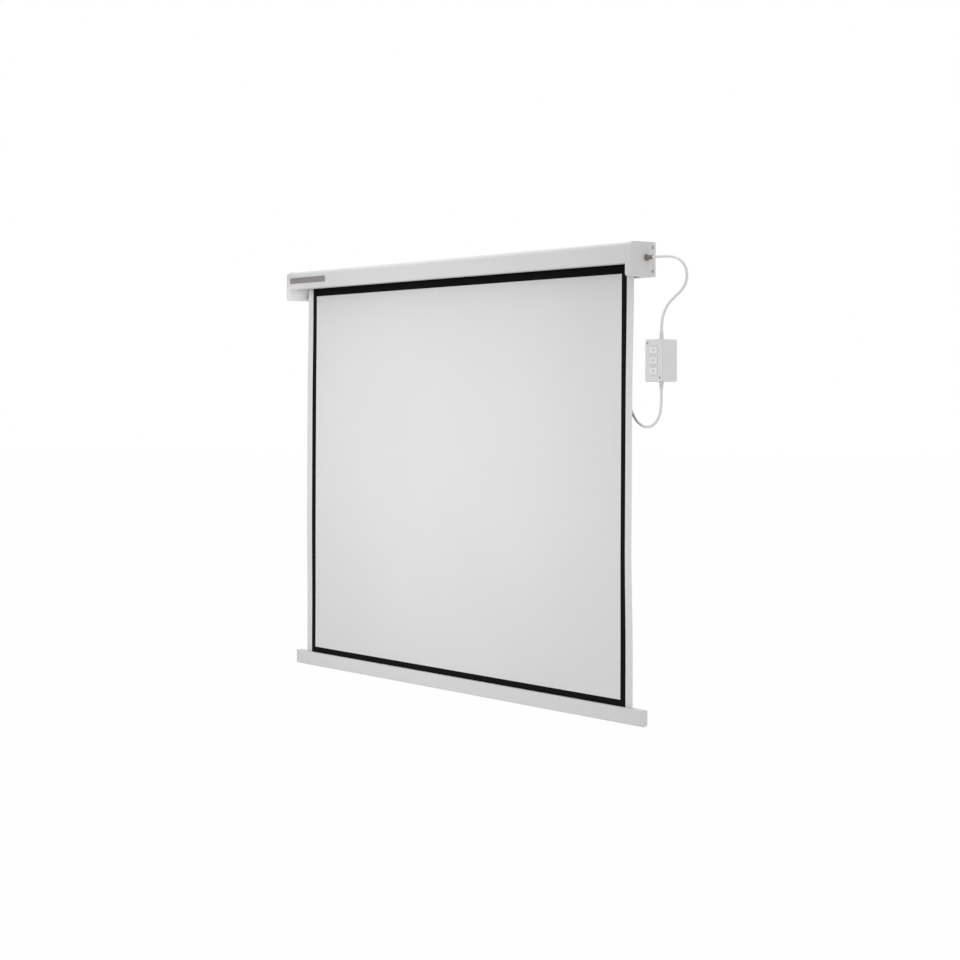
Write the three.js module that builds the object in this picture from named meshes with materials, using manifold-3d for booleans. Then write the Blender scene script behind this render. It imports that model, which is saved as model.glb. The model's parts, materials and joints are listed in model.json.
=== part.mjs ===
// A motorized projector screen: a wall-hung case with a motor-driven roller, the cloth with its
// weighted bottom bar, and the wall switch box with its leads.
// Millimetres. +X is to the viewer's right, +Y into the wall, +Z up. The origin is on the wall, at
// the middle of the case's length and of its height.
import * as THREE from 'three';
import { mergeVertices } from 'three/addons/utils/BufferGeometryUtils.js';
import Module from 'manifold-3d';

const wasm = await Module();
wasm.setup();

// Gap between pieces that touch or fit into each other
const GAP = 0.3;

// Cloth
const VIEW_WIDTH = 1440;
const VIEW_HEIGHT = 1080;
const SIDE_BORDER = 20;
const SIDE_MARGIN = 27;
const TOP_BORDER_SHOWN = 25;
const BOTTOM_BORDER = 16.5;
const CLOTH_THICKNESS = 0.42;
const CLOTH_Y = -36;
const CLOTH_WIDTH = VIEW_WIDTH + 2 * (SIDE_BORDER + SIDE_MARGIN);

// Case
const CASE_HALF_LENGTH = 812;
const CASE_HALF_HEIGHT = 43.5;
const CASE_BACK_Y = -3.3;
const CASE_FRONT_Y = -88;
const SHEET = 1.2;
const COVER_BOTTOM_Z = -10.5;
const COVER_TOP_RADIUS = 13;
const COVER_LIP_RADIUS = 3;
const COVER_LIP_Y = -60;
const COVER_LAP_Y = -64;
const CAP_LENGTH = 19;
const CAP_WALL = 2.5;
const CAP_PROUD = 1;
const CAP_CORNER = 8;
const CAP_INNER_X = CASE_HALF_LENGTH - CAP_LENGTH;
const SHEET_END_X = CAP_INNER_X - GAP;
const HEM_Y = -22;
const HEM_HEIGHT = 7.5;
const END_PLATE = 3;
const END_PLATE_OUTER_X = CAP_INNER_X - 3.5;
const END_PLATE_INNER_X = END_PLATE_OUTER_X - END_PLATE;
const CAP_SCREW_PLACES = [[-14, 30], [-14, -30]];

// Roller
const ROLLER_Y = -57.6;
const ROLLER_Z = 16;
const TUBE_RADIUS = 20;
const TUBE_WALL = 1;
const TUBE_HALF_LENGTH = 770;
const ROLL_RADIUS = 21;
const KEYWAY_WIDTH = 6;
const KEYWAY_DEPTH = 3;
const WHEEL_RADIUS = TUBE_RADIUS - TUBE_WALL - GAP;
const WHEEL_FLANGE = 1.4;
const IDLE_PIN_RADIUS = 4;

// Tubular motor, at the right end of the roller
const MOTOR_RADIUS = 14.5;
const MOTOR_WALL = 1;
const MOTOR_BORE = MOTOR_RADIUS - MOTOR_WALL;
const MOTOR_LEFT_X = 385;
const ROTOR_RADIUS = 8;
const ROTOR_SHAFT_RADIUS = 3;
const OUTPUT_RADIUS = 5;
const HEAD_SPIGOT = 12;
const HEAD_X = TUBE_HALF_LENGTH + WHEEL_FLANGE + 2 * GAP;
const LIMIT_SCREW_RADIUS = 2.5;
const LIMIT_SOCKET_RADIUS = 1.45;
const LIMIT_SCREW_XS = [775.7, 782.5];
const LIMIT_SCREW_BACK = 5;

// Bottom bar
const BAR_HEIGHT = 42;
const BAR_HALF_DEPTH = 11;
const BAR_CAP = 3;
const BAR_TOP_Z = COVER_BOTTOM_Z - TOP_BORDER_SHOWN - VIEW_HEIGHT - BOTTOM_BORDER;
const HEM_DROP = 9;
const HEM_ROD_RADIUS = 2.6;
const WEIGHT_DROP = 29;
const WEIGHT_RADIUS = 6;

// Wall brackets
const BRACKET_X = 640;
const BRACKET_PLATE = 3;
const BRACKET_HALF_WIDTH = 20;
const BRACKET_LIP = 2.5;
const HOOK_HALF_WIDTH = 9;
const LOCK_Y = -12;
const LOCK_HOLE_RADIUS = 2.8;

// Wall switch box
const BOX_X = 856;
const BOX_Z = -255;
const BOX_HALF_WIDTH = 33;
const BOX_HALF_HEIGHT = 53;
const BOX_DEPTH = 48;
const BOX_SPLIT = 30;
const BOX_WALL = 2.2;
const KEY_PITCH = 26;
const KEY_WIDTH = 29;
const KEY_HEIGHT = 19;
const BOX_SCREW_PLACES = [[-23, 43], [23, -43]];

// Leads
const LEAD_DIAMETER = 7;
const LEAD_STEP = 2.5 * LEAD_DIAMETER;
const CASE_EXIT = new THREE.Vector3(CASE_HALF_LENGTH, -34, 4.5);
const BOX_EXIT_Y = -22;
const GLAND_LENGTH = 24;
const BOX_GLAND_LENGTH = 22;

// Coil of the spare mains lead, hung on the right bracket's hook
const COIL_X = BRACKET_X;
const COIL_Z = -115;
const COIL_TURNS = 7.5;
const COIL_LEAST_RADIUS = 28;
const COIL_PITCH = 7.5;
const COIL_BACK_Y = -6.9;
const COIL_FRONT_Y = -14.5;
const COIL_STEPS = 24;
const COIL_SIDES = 6;
const COIL_END_RADIUS = COIL_LEAST_RADIUS + (COIL_PITCH * COIL_TURNS) / 2;

// Flat two-pin plug
const PLUG_Y = -10.4;
const PLUG_TOP_Z = -222;
const PLUG_HALF_WIDTH = 18;
const PLUG_HALF_THICKNESS = 6.9;
const PLUG_LENGTH = 35;
const PLUG_NECK = 24;
const PIN_RADIUS = 2;
const PIN_LENGTH = 19;
const PIN_APART = 18.6;

const CIRCLE = 20;
const BIG_CIRCLE = 40;

/** A plain material: colour, roughness and metalness. */
function finish(color, roughness, metalness = 0) {
  return new THREE.MeshStandardMaterial({ color, roughness, metalness });
}

const WHITE_PAINT = () => finish(0xd2d2d1, 0.42);
const WHITE_PLASTIC = () => finish(0xcfcdcb, 0.5);
const GREY_PLASTIC = () => finish(0x8b8c8e, 0.55);
const BLACK_PLASTIC = () => finish(0x1d1d1f, 0.5);
const ZINC_STEEL = () => finish(0xa9abae, 0.35, 1);
const BRIGHT_STEEL = () => finish(0xc0c2c5, 0.25, 1);
const WHITE_LEAD = () => finish(0xe4e4e3, 0.5);

/** The geometry with its faces turned outwards, and only its positions kept. */
function closed(geometry) {
  const bare = geometry.clone();
  for (const name of Object.keys(bare.attributes)) {
    if (name !== 'position') bare.deleteAttribute(name);
  }
  const merged = mergeVertices(bare, 1e-4);
  const place = merged.attributes.position;
  const corners = merged.index.array;
  const [a, b, c] = [new THREE.Vector3(), new THREE.Vector3(), new THREE.Vector3()];
  const kept = [];
  let volume = 0;
  for (let i = 0; i < corners.length; i += 3) {
    const [p, q, r] = corners.slice(i, i + 3);
    if (p === q || q === r || r === p) continue;
    kept.push([p, q, r]);
    a.fromBufferAttribute(place, p);
    b.fromBufferAttribute(place, q);
    c.fromBufferAttribute(place, r);
    volume += a.dot(b.cross(c)) / 6;
  }
  merged.setIndex(kept.flatMap(([p, q, r]) => (volume < 0 ? [p, r, q] : [p, q, r])));
  return merged;
}

/** A closed geometry as a solid that can be cut and joined. */
function solid(geometry) {
  const mesh = closed(geometry);
  return new wasm.Manifold(new wasm.Mesh({
    numProp: 3,
    vertProperties: new Float32Array(mesh.attributes.position.array),
    triVerts: new Uint32Array(mesh.index.array),
  }));
}

/** A cut or joined solid as a geometry. */
function geometryOf(body) {
  const mesh = body.getMesh();
  const geometry = new THREE.BufferGeometry();
  geometry.setAttribute('position', new THREE.BufferAttribute(new Float32Array(mesh.vertProperties), 3));
  geometry.setIndex(new THREE.BufferAttribute(new Uint32Array(mesh.triVerts), 1));
  return geometry;
}

function join(...geometries) {
  return geometryOf(geometries.map(solid).reduce((whole, piece) => whole.add(piece)));
}

function cut(geometry, ...tools) {
  return geometryOf(tools.map(solid).reduce((left, tool) => left.subtract(tool), solid(geometry)));
}

/** The same piece for the left end, mirrored in X. */
function mirrored(geometry) {
  return closed(geometry.clone().scale(-1, 1, 1));
}

function box([x0, x1], [y0, y1], [z0, z1]) {
  const block = new THREE.BoxGeometry(Math.abs(x1 - x0), Math.abs(y1 - y0), Math.abs(z1 - z0));
  return block.translate((x0 + x1) / 2, (y0 + y1) / 2, (z0 + z1) / 2);
}

/** A round rod along X, from x0 to x1. */
function rodX(radius, [x0, x1], y = 0, z = 0, sides = CIRCLE) {
  const rod = new THREE.CylinderGeometry(radius, radius, Math.abs(x1 - x0), sides);
  return rod.rotateZ(-Math.PI / 2).translate((x0 + x1) / 2, y, z);
}

/** A round rod along Y, from y0 to y1. */
function rodY(radius, [y0, y1], x = 0, z = 0, sides = CIRCLE) {
  return new THREE.CylinderGeometry(radius, radius, Math.abs(y1 - y0), sides).translate(x, (y0 + y1) / 2, z);
}

/** A round rod along Z, from z0 to z1. */
function rodZ(radius, [z0, z1], x = 0, y = 0, sides = CIRCLE) {
  const rod = new THREE.CylinderGeometry(radius, radius, Math.abs(z1 - z0), sides);
  return rod.rotateX(Math.PI / 2).translate(x, y, (z0 + z1) / 2);
}

/** A piece turned about X, from its profile of [x, radius] points. */
function turnedX(profile, sides = CIRCLE) {
  const points = profile.map(([x, radius]) => new THREE.Vector2(radius, x));
  return closed(new THREE.LatheGeometry(points, sides).rotateZ(-Math.PI / 2));
}

/** A piece turned about Z, from its profile of [z, radius] points. */
function turnedZ(profile, sides = CIRCLE) {
  const points = profile.map(([z, radius]) => new THREE.Vector2(radius, z));
  return closed(new THREE.LatheGeometry(points, sides).rotateX(Math.PI / 2));
}

function outline(points) {
  return new THREE.Shape(points.map(([a, b]) => new THREE.Vector2(a, b)));
}

/** A rectangle with a radius of its own at each corner, anticlockwise from the lower left. */
function roundedRectangle([a0, a1], [b0, b1], [r00, r10, r11, r01]) {
  const shape = new THREE.Shape();
  const quarter = Math.PI / 2;
  shape.moveTo(a0 + r00, b0);
  shape.lineTo(a1 - r10, b0);
  if (r10) shape.absarc(a1 - r10, b0 + r10, r10, -quarter, 0);
  shape.lineTo(a1, b1 - r11);
  if (r11) shape.absarc(a1 - r11, b1 - r11, r11, 0, quarter);
  shape.lineTo(a0 + r01, b1);
  if (r01) shape.absarc(a0 + r01, b1 - r01, r01, quarter, 2 * quarter);
  shape.lineTo(a0, b0 + r00);
  if (r00) shape.absarc(a0 + r00, b0 + r00, r00, 2 * quarter, 3 * quarter);
  return shape;
}

/** An outline in Y and Z, drawn out along X from x0 to x1. */
function extrudedX(shape, [x0, x1], curveSegments = 5) {
  const piece = new THREE.ExtrudeGeometry(shape, { depth: x1 - x0, bevelEnabled: false, curveSegments });
  const axes = [[0, 1, 0], [0, 0, 1], [1, 0, 0]].map((axis) => new THREE.Vector3(...axis));
  return piece.applyMatrix4(new THREE.Matrix4().makeBasis(...axes)).translate(x0, 0, 0);
}

/** An outline in X and Z, drawn out towards the viewer from its back to its front. */
function extrudedY(shape, [back, front], curveSegments = 3) {
  const piece = new THREE.ExtrudeGeometry(shape, { depth: back - front, bevelEnabled: false, curveSegments });
  return piece.rotateX(Math.PI / 2).translate(0, back, 0);
}

function add(group, name, geometry, material) {
  const mesh = new THREE.Mesh(closed(geometry), material);
  mesh.name = name;
  group.add(mesh);
  return mesh;
}

function groupAt(x, y, z) {
  const group = new THREE.Group();
  group.position.set(x, y, z);
  return group;
}

/** The back and top of the case: one bent sheet with a joggled lap for the cover and a hem below. */
function caseHousing() {
  const [back, top, bottom] = [CASE_BACK_Y, CASE_HALF_HEIGHT, -CASE_HALF_HEIGHT];
  const lapY = COVER_LAP_Y + GAP;
  const lapZ = top - SHEET - GAP;
  const lapEndY = CASE_FRONT_Y + COVER_TOP_RADIUS + 0.5;
  const hemZ = bottom + HEM_HEIGHT;
  const section = outline([
    [back, bottom], [back, top], [lapY, top], [lapY, lapZ], [lapEndY, lapZ], [lapEndY, lapZ - SHEET],
    [lapY + SHEET, lapZ - SHEET], [lapY + SHEET, top - SHEET], [back - SHEET, top - SHEET],
    [back - SHEET, bottom + SHEET], [HEM_Y, bottom + SHEET], [HEM_Y, hemZ], [HEM_Y - SHEET, hemZ],
    [HEM_Y - SHEET, bottom],
  ]);
  const screwHole = (x) => rodZ(LOCK_HOLE_RADIUS, [bottom - 1, bottom + SHEET + 1], x, LOCK_Y);
  return cut(extrudedX(section, [-SHEET_END_X, SHEET_END_X]), screwHole(-BRACKET_X), screwHole(BRACKET_X));
}

/** The front cover: a shallow channel with a rounded top edge and a lip under the roll. */
function frontCover() {
  const [front, top, bottom] = [CASE_FRONT_Y, CASE_HALF_HEIGHT, COVER_BOTTOM_Z];
  const [topRadius, lipRadius] = [COVER_TOP_RADIUS, COVER_LIP_RADIUS];
  const quarter = Math.PI / 2;
  const section = new THREE.Shape();
  section.moveTo(COVER_LAP_Y, top);
  section.absarc(front + topRadius, top - topRadius, topRadius, quarter, 2 * quarter);
  section.absarc(front + lipRadius, bottom + lipRadius, lipRadius, 2 * quarter, 3 * quarter);
  section.lineTo(COVER_LIP_Y, bottom);
  section.lineTo(COVER_LIP_Y, bottom + SHEET);
  section.absarc(front + lipRadius, bottom + lipRadius, lipRadius - SHEET, 3 * quarter, 2 * quarter, true);
  section.absarc(front + topRadius, top - topRadius, topRadius - SHEET, 2 * quarter, quarter, true);
  section.lineTo(COVER_LAP_Y, top - SHEET);
  return extrudedX(section, [-SHEET_END_X, SHEET_END_X], 6);
}

/** The right end cap, hollow from inside, with a boss for each screw. */
function endCap(exitHole) {
  const [x0, x1] = [CAP_INNER_X, CASE_HALF_LENGTH];
  const [bottom, top] = [-CASE_HALF_HEIGHT, CASE_HALF_HEIGHT + CAP_PROUD];
  const [front, back] = [CASE_FRONT_Y - CAP_PROUD, CASE_BACK_Y];
  const topCorner = COVER_TOP_RADIUS + CAP_PROUD;
  const body = roundedRectangle([front, back], [bottom, top], [CAP_CORNER, 1, 1, topCorner]);
  const inner = [front + CAP_WALL, back - CAP_WALL];
  const mouthZ = COVER_BOTTOM_Z + CAP_WALL;
  const innerCorner = CAP_CORNER - CAP_WALL;
  const mouth = roundedRectangle(inner, [mouthZ, top - CAP_WALL], [0, 0, 0, topCorner - CAP_WALL]);
  const pocket = roundedRectangle(inner, [bottom + CAP_WALL, mouthZ + 1], [innerCorner, 0, 0, 0]);
  const bosses = CAP_SCREW_PLACES.map(([y, z]) => rodX(6, [x0, x1 - 1], y, z, 16));
  const holes = CAP_SCREW_PLACES.flatMap(([y, z]) => [
    rodX(2.3, [x0 - 1, x1 + 1], y, z, 12),
    rodX(4.5, [x1 - 4, x1 + 1], y, z, 16),
  ]);
  const shell = cut(
    extrudedX(body, [x0, x1]),
    extrudedX(mouth, [x0 - 1, x1 - CAP_WALL]),
    extrudedX(pocket, [x0 + CAP_WALL, x1 - CAP_WALL]),
  );
  return cut(join(shell, ...bosses), ...holes, ...exitHole);
}

/** The steel plate inside the right end, with a flange along its back. */
function endPlate(hole) {
  const [x0, x1] = [END_PLATE_INNER_X, END_PLATE_OUTER_X];
  const back = CASE_BACK_Y - SHEET - GAP;
  const front = CASE_FRONT_Y + SHEET + GAP;
  const top = CASE_HALF_HEIGHT - 2 * SHEET - 2 * GAP;
  const lip = COVER_BOTTOM_Z + SHEET + GAP;
  const bottom = -CASE_HALF_HEIGHT + SHEET + GAP;
  const hemY = HEM_Y + GAP;
  const chamfer = COVER_TOP_RADIUS - 3;
  const plate = outline([
    [back, bottom], [back, top], [front + chamfer, top], [front, top - chamfer], [front, lip + 2],
    [front + 2, lip], [-34, lip], [hemY, lip - 9], [hemY, bottom],
  ]);
  const flange = box([x0 - 18, x0 + 1], [back - END_PLATE, back], [-34, 34]);
  const screwHoles = CAP_SCREW_PLACES.map(([y, z]) => rodX(2.3, [x0 - 1, x1 + 1], y, z, 12));
  return cut(join(extrudedX(plate, [x0, x1]), flange), hole, ...screwHoles);
}

/** A cap screw: its head in the cap's recess, its end through the end plate. */
function capScrew([y, z]) {
  const head = CASE_HALF_LENGTH - 4 + GAP;
  const screw = turnedX([
    [END_PLATE_INNER_X - 2, 0], [END_PLATE_INNER_X - 2, 2], [head, 2], [head, 4.1], [head + 2, 4.1],
    [head + 3, 3], [head + 3, 0],
  ], 16);
  const slot = box([head + 1.8, head + 4], [-0.6, 0.6], [-5, 5]);
  return cut(screw, slot).translate(0, y, z);
}

function buildCase() {
  const group = new THREE.Group();
  const exitHole = rodX(5.3, [CASE_EXIT.x - 6, CASE_EXIT.x + 1], CASE_EXIT.y, CASE_EXIT.z);
  const throughPlate = [END_PLATE_INNER_X - 1, END_PLATE_OUTER_X + 1];
  const pinHole = rodX(IDLE_PIN_RADIUS + GAP, throughPlate, ROLLER_Y, ROLLER_Z);
  const spigot = HEAD_SPIGOT / 2 + GAP;
  const spigotHole = box(
    throughPlate,
    [ROLLER_Y - spigot, ROLLER_Y + spigot],
    [ROLLER_Z - spigot, ROLLER_Z + spigot],
  );
  add(group, 'case_housing', caseHousing(), WHITE_PAINT());
  add(group, 'front_cover', frontCover(), WHITE_PAINT());
  add(group, 'left_end_cap', mirrored(endCap([])), WHITE_PLASTIC());
  add(group, 'right_end_cap', endCap([exitHole]), WHITE_PLASTIC());
  add(group, 'left_end_plate', mirrored(endPlate(pinHole)), WHITE_PAINT());
  add(group, 'right_end_plate', endPlate(spigotHole), WHITE_PAINT());
  for (const [place, which] of [[CAP_SCREW_PLACES[0], 'upper'], [CAP_SCREW_PLACES[1], 'lower']]) {
    add(group, `left_cap_screw_${which}`, mirrored(capScrew(place)), BRIGHT_STEEL());
    add(group, `right_cap_screw_${which}`, capScrew(place), BRIGHT_STEEL());
  }
  const badge = box([-791, -595], [CASE_FRONT_Y - GAP - 1, CASE_FRONT_Y - GAP], [7.5, 25]);
  add(group, 'badge_plate', badge, finish(0x878180, 0.4));
  return group;
}

/** A wall bracket about its own middle: a plate with a hook over the case, a lanced tab under it and
 * a cable hook at its foot. */
function wallBracket() {
  const [w, plate, lip] = [BRACKET_HALF_WIDTH, BRACKET_PLATE, BRACKET_LIP];
  const top = CASE_HALF_HEIGHT + GAP + lip;
  const tabTop = -CASE_HALF_HEIGHT - GAP;
  const hookFloor = COIL_Z + COIL_LEAST_RADIUS - 2.2;
  const foot = hookFloor - lip;
  const lipY = COIL_FRONT_Y - LEAD_DIAMETER / 2 - 0.5;
  const pieces = [
    box([-w, w], [-plate, 0], [foot, top]),
    box([-w, w], [-20, -plate + 0.5], [top - lip, top]),
    box([-12, 12], [-19, -plate + 0.5], [tabTop - lip, tabTop]),
    box([-HOOK_HALF_WIDTH, HOOK_HALF_WIDTH], [lipY - lip, -plate + 0.5], [foot, hookFloor]),
    box([-HOOK_HALF_WIDTH, HOOK_HALF_WIDTH], [lipY - lip, lipY], [foot, hookFloor + 12]),
  ];
  const cuts = [
    box([-12, 12], [-plate - 1, 1], [tabTop - lip - 14, tabTop - lip]),
    box([-w - 1, -HOOK_HALF_WIDTH - 4], [-plate - 1, 1], [foot - 1, hookFloor + 8]),
    box([HOOK_HALF_WIDTH + 4, w + 1], [-plate - 1, 1], [foot - 1, hookFloor + 8]),
    rodZ(LOCK_HOLE_RADIUS, [tabTop - lip - 1, tabTop + 1], 0, LOCK_Y),
    ...[[-11, 25], [11, 25], [-11, -25], [11, -25]].map(([x, z]) => rodY(2.8, [-plate - 1, 1], x, z, 16)),
  ];
  return cut(join(...pieces), ...cuts);
}

/** The locking screw, up through the bracket's tab into the case. */
function lockingScrew() {
  const seat = -CASE_HALF_HEIGHT - BRACKET_LIP - 2 * GAP;
  const screw = turnedZ([
    [seat + 12, 0], [seat + 12, 2.5], [seat, 2.5], [seat, 5], [seat - 3, 5], [seat - 4, 3.8], [seat - 4, 0],
  ], 16);
  return cut(screw, rodZ(2, [seat - 5, seat - 1.5], 0, 0, 6)).translate(0, LOCK_Y, 0);
}

function buildBrackets() {
  const group = new THREE.Group();
  for (const [side, x] of [['left', -BRACKET_X], ['right', BRACKET_X]]) {
    const bracket = groupAt(x, 0, 0);
    add(bracket, `${side}_wall_bracket`, wallBracket(), ZINC_STEEL());
    add(bracket, `${side}_locking_screw`, lockingScrew(), BRIGHT_STEEL());
    group.add(bracket);
  }
  return group;
}

/** A ring's outline that dips inwards at the top, for the roller's keyway. */
function keyedCircle(radius, halfWidth, floor) {
  const path = new THREE.Shape();
  const half = Math.asin(halfWidth / radius);
  path.absarc(0, 0, radius, Math.PI / 2 + half, Math.PI * 2.5 - half);
  path.lineTo(halfWidth, floor);
  path.lineTo(-halfWidth, floor);
  return path;
}

/** The rolled steel tube, with a keyway along its whole length. */
function rollerTube() {
  const section = keyedCircle(TUBE_RADIUS, KEYWAY_WIDTH / 2, TUBE_RADIUS - KEYWAY_DEPTH);
  const innerFloor = TUBE_RADIUS - KEYWAY_DEPTH - TUBE_WALL;
  section.holes.push(keyedCircle(TUBE_RADIUS - TUBE_WALL, KEYWAY_WIDTH / 2 + TUBE_WALL, innerFloor));
  return extrudedX(section, [-TUBE_HALF_LENGTH, TUBE_HALF_LENGTH], 18);
}

/** A wheel that fits in the tube and takes its keyway, with a flange at one end if it has one. */
function keyedWheel([x0, x1], bore, flange) {
  const halfWidth = KEYWAY_WIDTH / 2 + TUBE_WALL + GAP;
  const floor = TUBE_RADIUS - KEYWAY_DEPTH - TUBE_WALL - GAP;
  const body = extrudedX(keyedCircle(WHEEL_RADIUS, halfWidth, floor), [x0, x1], 16);
  return flange ? cut(join(body, flange), bore) : cut(body, bore);
}

function buildRoller() {
  const group = groupAt(0, ROLLER_Y, ROLLER_Z);
  const half = TUBE_HALF_LENGTH;
  add(group, 'roller_tube', rollerTube(), ZINC_STEEL());

  const roll = turnedX([
    [-CLOTH_WIDTH / 2, TUBE_RADIUS + GAP], [CLOTH_WIDTH / 2, TUBE_RADIUS + GAP],
    [CLOTH_WIDTH / 2, ROLL_RADIUS], [-CLOTH_WIDTH / 2, ROLL_RADIUS], [-CLOTH_WIDTH / 2, TUBE_RADIUS + GAP],
  ], BIG_CIRCLE);
  add(group, 'fabric_roll', roll, finish(0x151515, 0.9));

  const splineY = KEYWAY_WIDTH / 2 - GAP;
  const splineZ = [TUBE_RADIUS - KEYWAY_DEPTH + GAP, TUBE_RADIUS - GAP];
  const splineX = CLOTH_WIDTH / 2 - 2;
  add(group, 'fabric_spline', box([-splineX, splineX], [-splineY, splineY], splineZ), GREY_PLASTIC());

  const flangeX = half + GAP;
  const crownBore = MOTOR_RADIUS + GAP;
  const crown = keyedWheel(
    [half - 16, flangeX + 0.1],
    rodX(crownBore, [half - 20, half + 5]),
    rodX(TUBE_RADIUS - 0.1, [flangeX, flangeX + WHEEL_FLANGE], 0, 0, BIG_CIRCLE),
  );
  add(group, 'crown_wheel', crown, BLACK_PLASTIC());

  const driveX = [355, 380];
  const bore = OUTPUT_RADIUS - 1 + GAP;
  const driveBore = box([driveX[0] - 1, driveX[1] + 1], [-bore, bore], [-bore, bore]);
  add(group, 'drive_wheel', keyedWheel(driveX, driveBore), BLACK_PLASTIC());

  const shaft = join(
    box([driveX[0] - 3, MOTOR_LEFT_X], [-bore + GAP, bore - GAP], [-bore + GAP, bore - GAP]),
    rodX(OUTPUT_RADIUS, [MOTOR_LEFT_X - 1, MOTOR_LEFT_X + 33]),
  );
  add(group, 'output_shaft', shaft, BRIGHT_STEEL());

  const bushRadius = IDLE_PIN_RADIUS + GAP + 1.7;
  const hub = keyedWheel(
    [half - 29, flangeX + 0.1],
    rodX(bushRadius + GAP, [half - 30, half + 5]),
    rodX(TUBE_RADIUS - 0.1, [flangeX, flangeX + WHEEL_FLANGE], 0, 0, BIG_CIRCLE),
  );
  add(group, 'idle_hub', mirrored(hub), BLACK_PLASTIC());

  const [bushLeft, bushRight] = [-flangeX - WHEEL_FLANGE, -half + 24];
  const bush = turnedX([
    [bushLeft, IDLE_PIN_RADIUS + GAP], [bushRight, IDLE_PIN_RADIUS + GAP], [bushRight, bushRadius],
    [bushLeft, bushRadius], [bushLeft, IDLE_PIN_RADIUS + GAP],
  ]);
  add(group, 'idle_bush', bush, finish(0xb08a4a, 0.4, 1));
  return group;
}

/** The fixed pieces on the roller's axis: the idle pin and the tubular motor. */
function buildMotor() {
  const group = groupAt(0, ROLLER_Y, ROLLER_Z);
  const plateX = END_PLATE_INNER_X;
  const pin = turnedX([
    [-END_PLATE_OUTER_X - 3, 0], [-END_PLATE_OUTER_X - 3, 6.5], [-END_PLATE_OUTER_X - GAP, 6.5],
    [-END_PLATE_OUTER_X - GAP, IDLE_PIN_RADIUS], [-plateX + GAP, IDLE_PIN_RADIUS], [-plateX + GAP, 7],
    [-plateX + 12, 7], [-plateX + 12, IDLE_PIN_RADIUS], [-TUBE_HALF_LENGTH + 22, IDLE_PIN_RADIUS],
    [-TUBE_HALF_LENGTH + 22, 0],
  ]);
  add(group, 'idle_pin', pin, BRIGHT_STEEL());

  const headX = [HEAD_X, plateX - GAP];
  const insert = MOTOR_BORE - GAP;
  const spigot = HEAD_SPIGOT / 2;
  const screwTop = -TUBE_RADIUS + 10.6;
  const screwBore = LIMIT_SCREW_RADIUS + GAP;
  const screwHole = (x) => rodZ(screwBore, [-TUBE_RADIUS - 1, screwTop + GAP], x, LIMIT_SCREW_BACK, 16);
  const head = cut(
    join(
      rodX(TUBE_RADIUS, headX, 0, 0, BIG_CIRCLE),
      rodX(insert, [HEAD_X - 21, HEAD_X + 1]),
      box([headX[1] - 1, END_PLATE_OUTER_X + 6], [-spigot, spigot], [-spigot, spigot]),
    ),
    ...LIMIT_SCREW_XS.map(screwHole),
  );
  add(group, 'motor_head', head, BLACK_PLASTIC());

  const [left, right] = [MOTOR_LEFT_X, HEAD_X - GAP];
  const housing = turnedX([
    [left, MOTOR_BORE], [right, MOTOR_BORE], [right, MOTOR_RADIUS], [left, MOTOR_RADIUS], [left, MOTOR_BORE],
  ], 36);
  add(group, 'motor_housing', housing, ZINC_STEEL());

  const fit = MOTOR_BORE - GAP;
  const gearbox = cut(
    rodX(fit, [left + 12, 556], 0, 0, 30),
    rodX(OUTPUT_RADIUS + GAP, [left + 11, left + 34]),
    rodX(ROTOR_SHAFT_RADIUS + GAP, [525, 557]),
  );
  add(group, 'planetary_gearbox', gearbox, GREY_PLASTIC());

  const statorBore = ROTOR_RADIUS + GAP;
  const stator = turnedX([
    [560, statorBore], [668, statorBore], [668, fit], [560, fit], [560, statorBore],
  ], 30);
  add(group, 'motor_stator', stator, finish(0x8a5a33, 0.5, 0.6));

  const rotor = turnedX([
    [530, 0], [530, ROTOR_SHAFT_RADIUS], [562, ROTOR_SHAFT_RADIUS], [562, ROTOR_RADIUS], [666, ROTOR_RADIUS],
    [666, ROTOR_SHAFT_RADIUS], [686, ROTOR_SHAFT_RADIUS], [686, 0],
  ]);
  add(group, 'motor_rotor', rotor, BRIGHT_STEEL());

  const brake = cut(rodX(12.8, [672, 688]), rodX(ROTOR_SHAFT_RADIUS + GAP, [671, 687]));
  add(group, 'motor_brake', brake, finish(0x4a4a4c, 0.7));
  add(group, 'run_capacitor', rodX(12.5, [691, HEAD_X - 24]), finish(0xd9d9d6, 0.4));

  for (const [name, order, color] of [['upper', 0, 0xc9a227], ['lower', 1, 0xe7e7e4]]) {
    const x = LIMIT_SCREW_XS[order];
    const bottom = -TUBE_RADIUS - 0.5;
    const screw = cut(
      rodZ(LIMIT_SCREW_RADIUS, [bottom, screwTop], x, LIMIT_SCREW_BACK, 16),
      rodZ(LIMIT_SOCKET_RADIUS, [bottom - 1, bottom + 4], x, LIMIT_SCREW_BACK, 6),
    );
    add(group, `${name}_limit_screw`, screw, finish(color, 0.5));
  }
  return group;
}

/** The flat cloth between the roll and the bar's hem rod. */
function buildCloth() {
  const group = groupAt(0, CLOTH_Y, ROLLER_Z);
  const drop = ROLLER_Z - (BAR_TOP_Z - HEM_DROP + HEM_ROD_RADIUS + 0.4);
  const half = [CLOTH_WIDTH / 2, CLOTH_THICKNESS / 2];
  const cloth = box([-half[0], half[0]], [-half[1], half[1]], [-drop, 0]);
  add(group, 'screen_fabric', cloth, finish(0xd8d9db, 0.85));
  return group;
}

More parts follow.
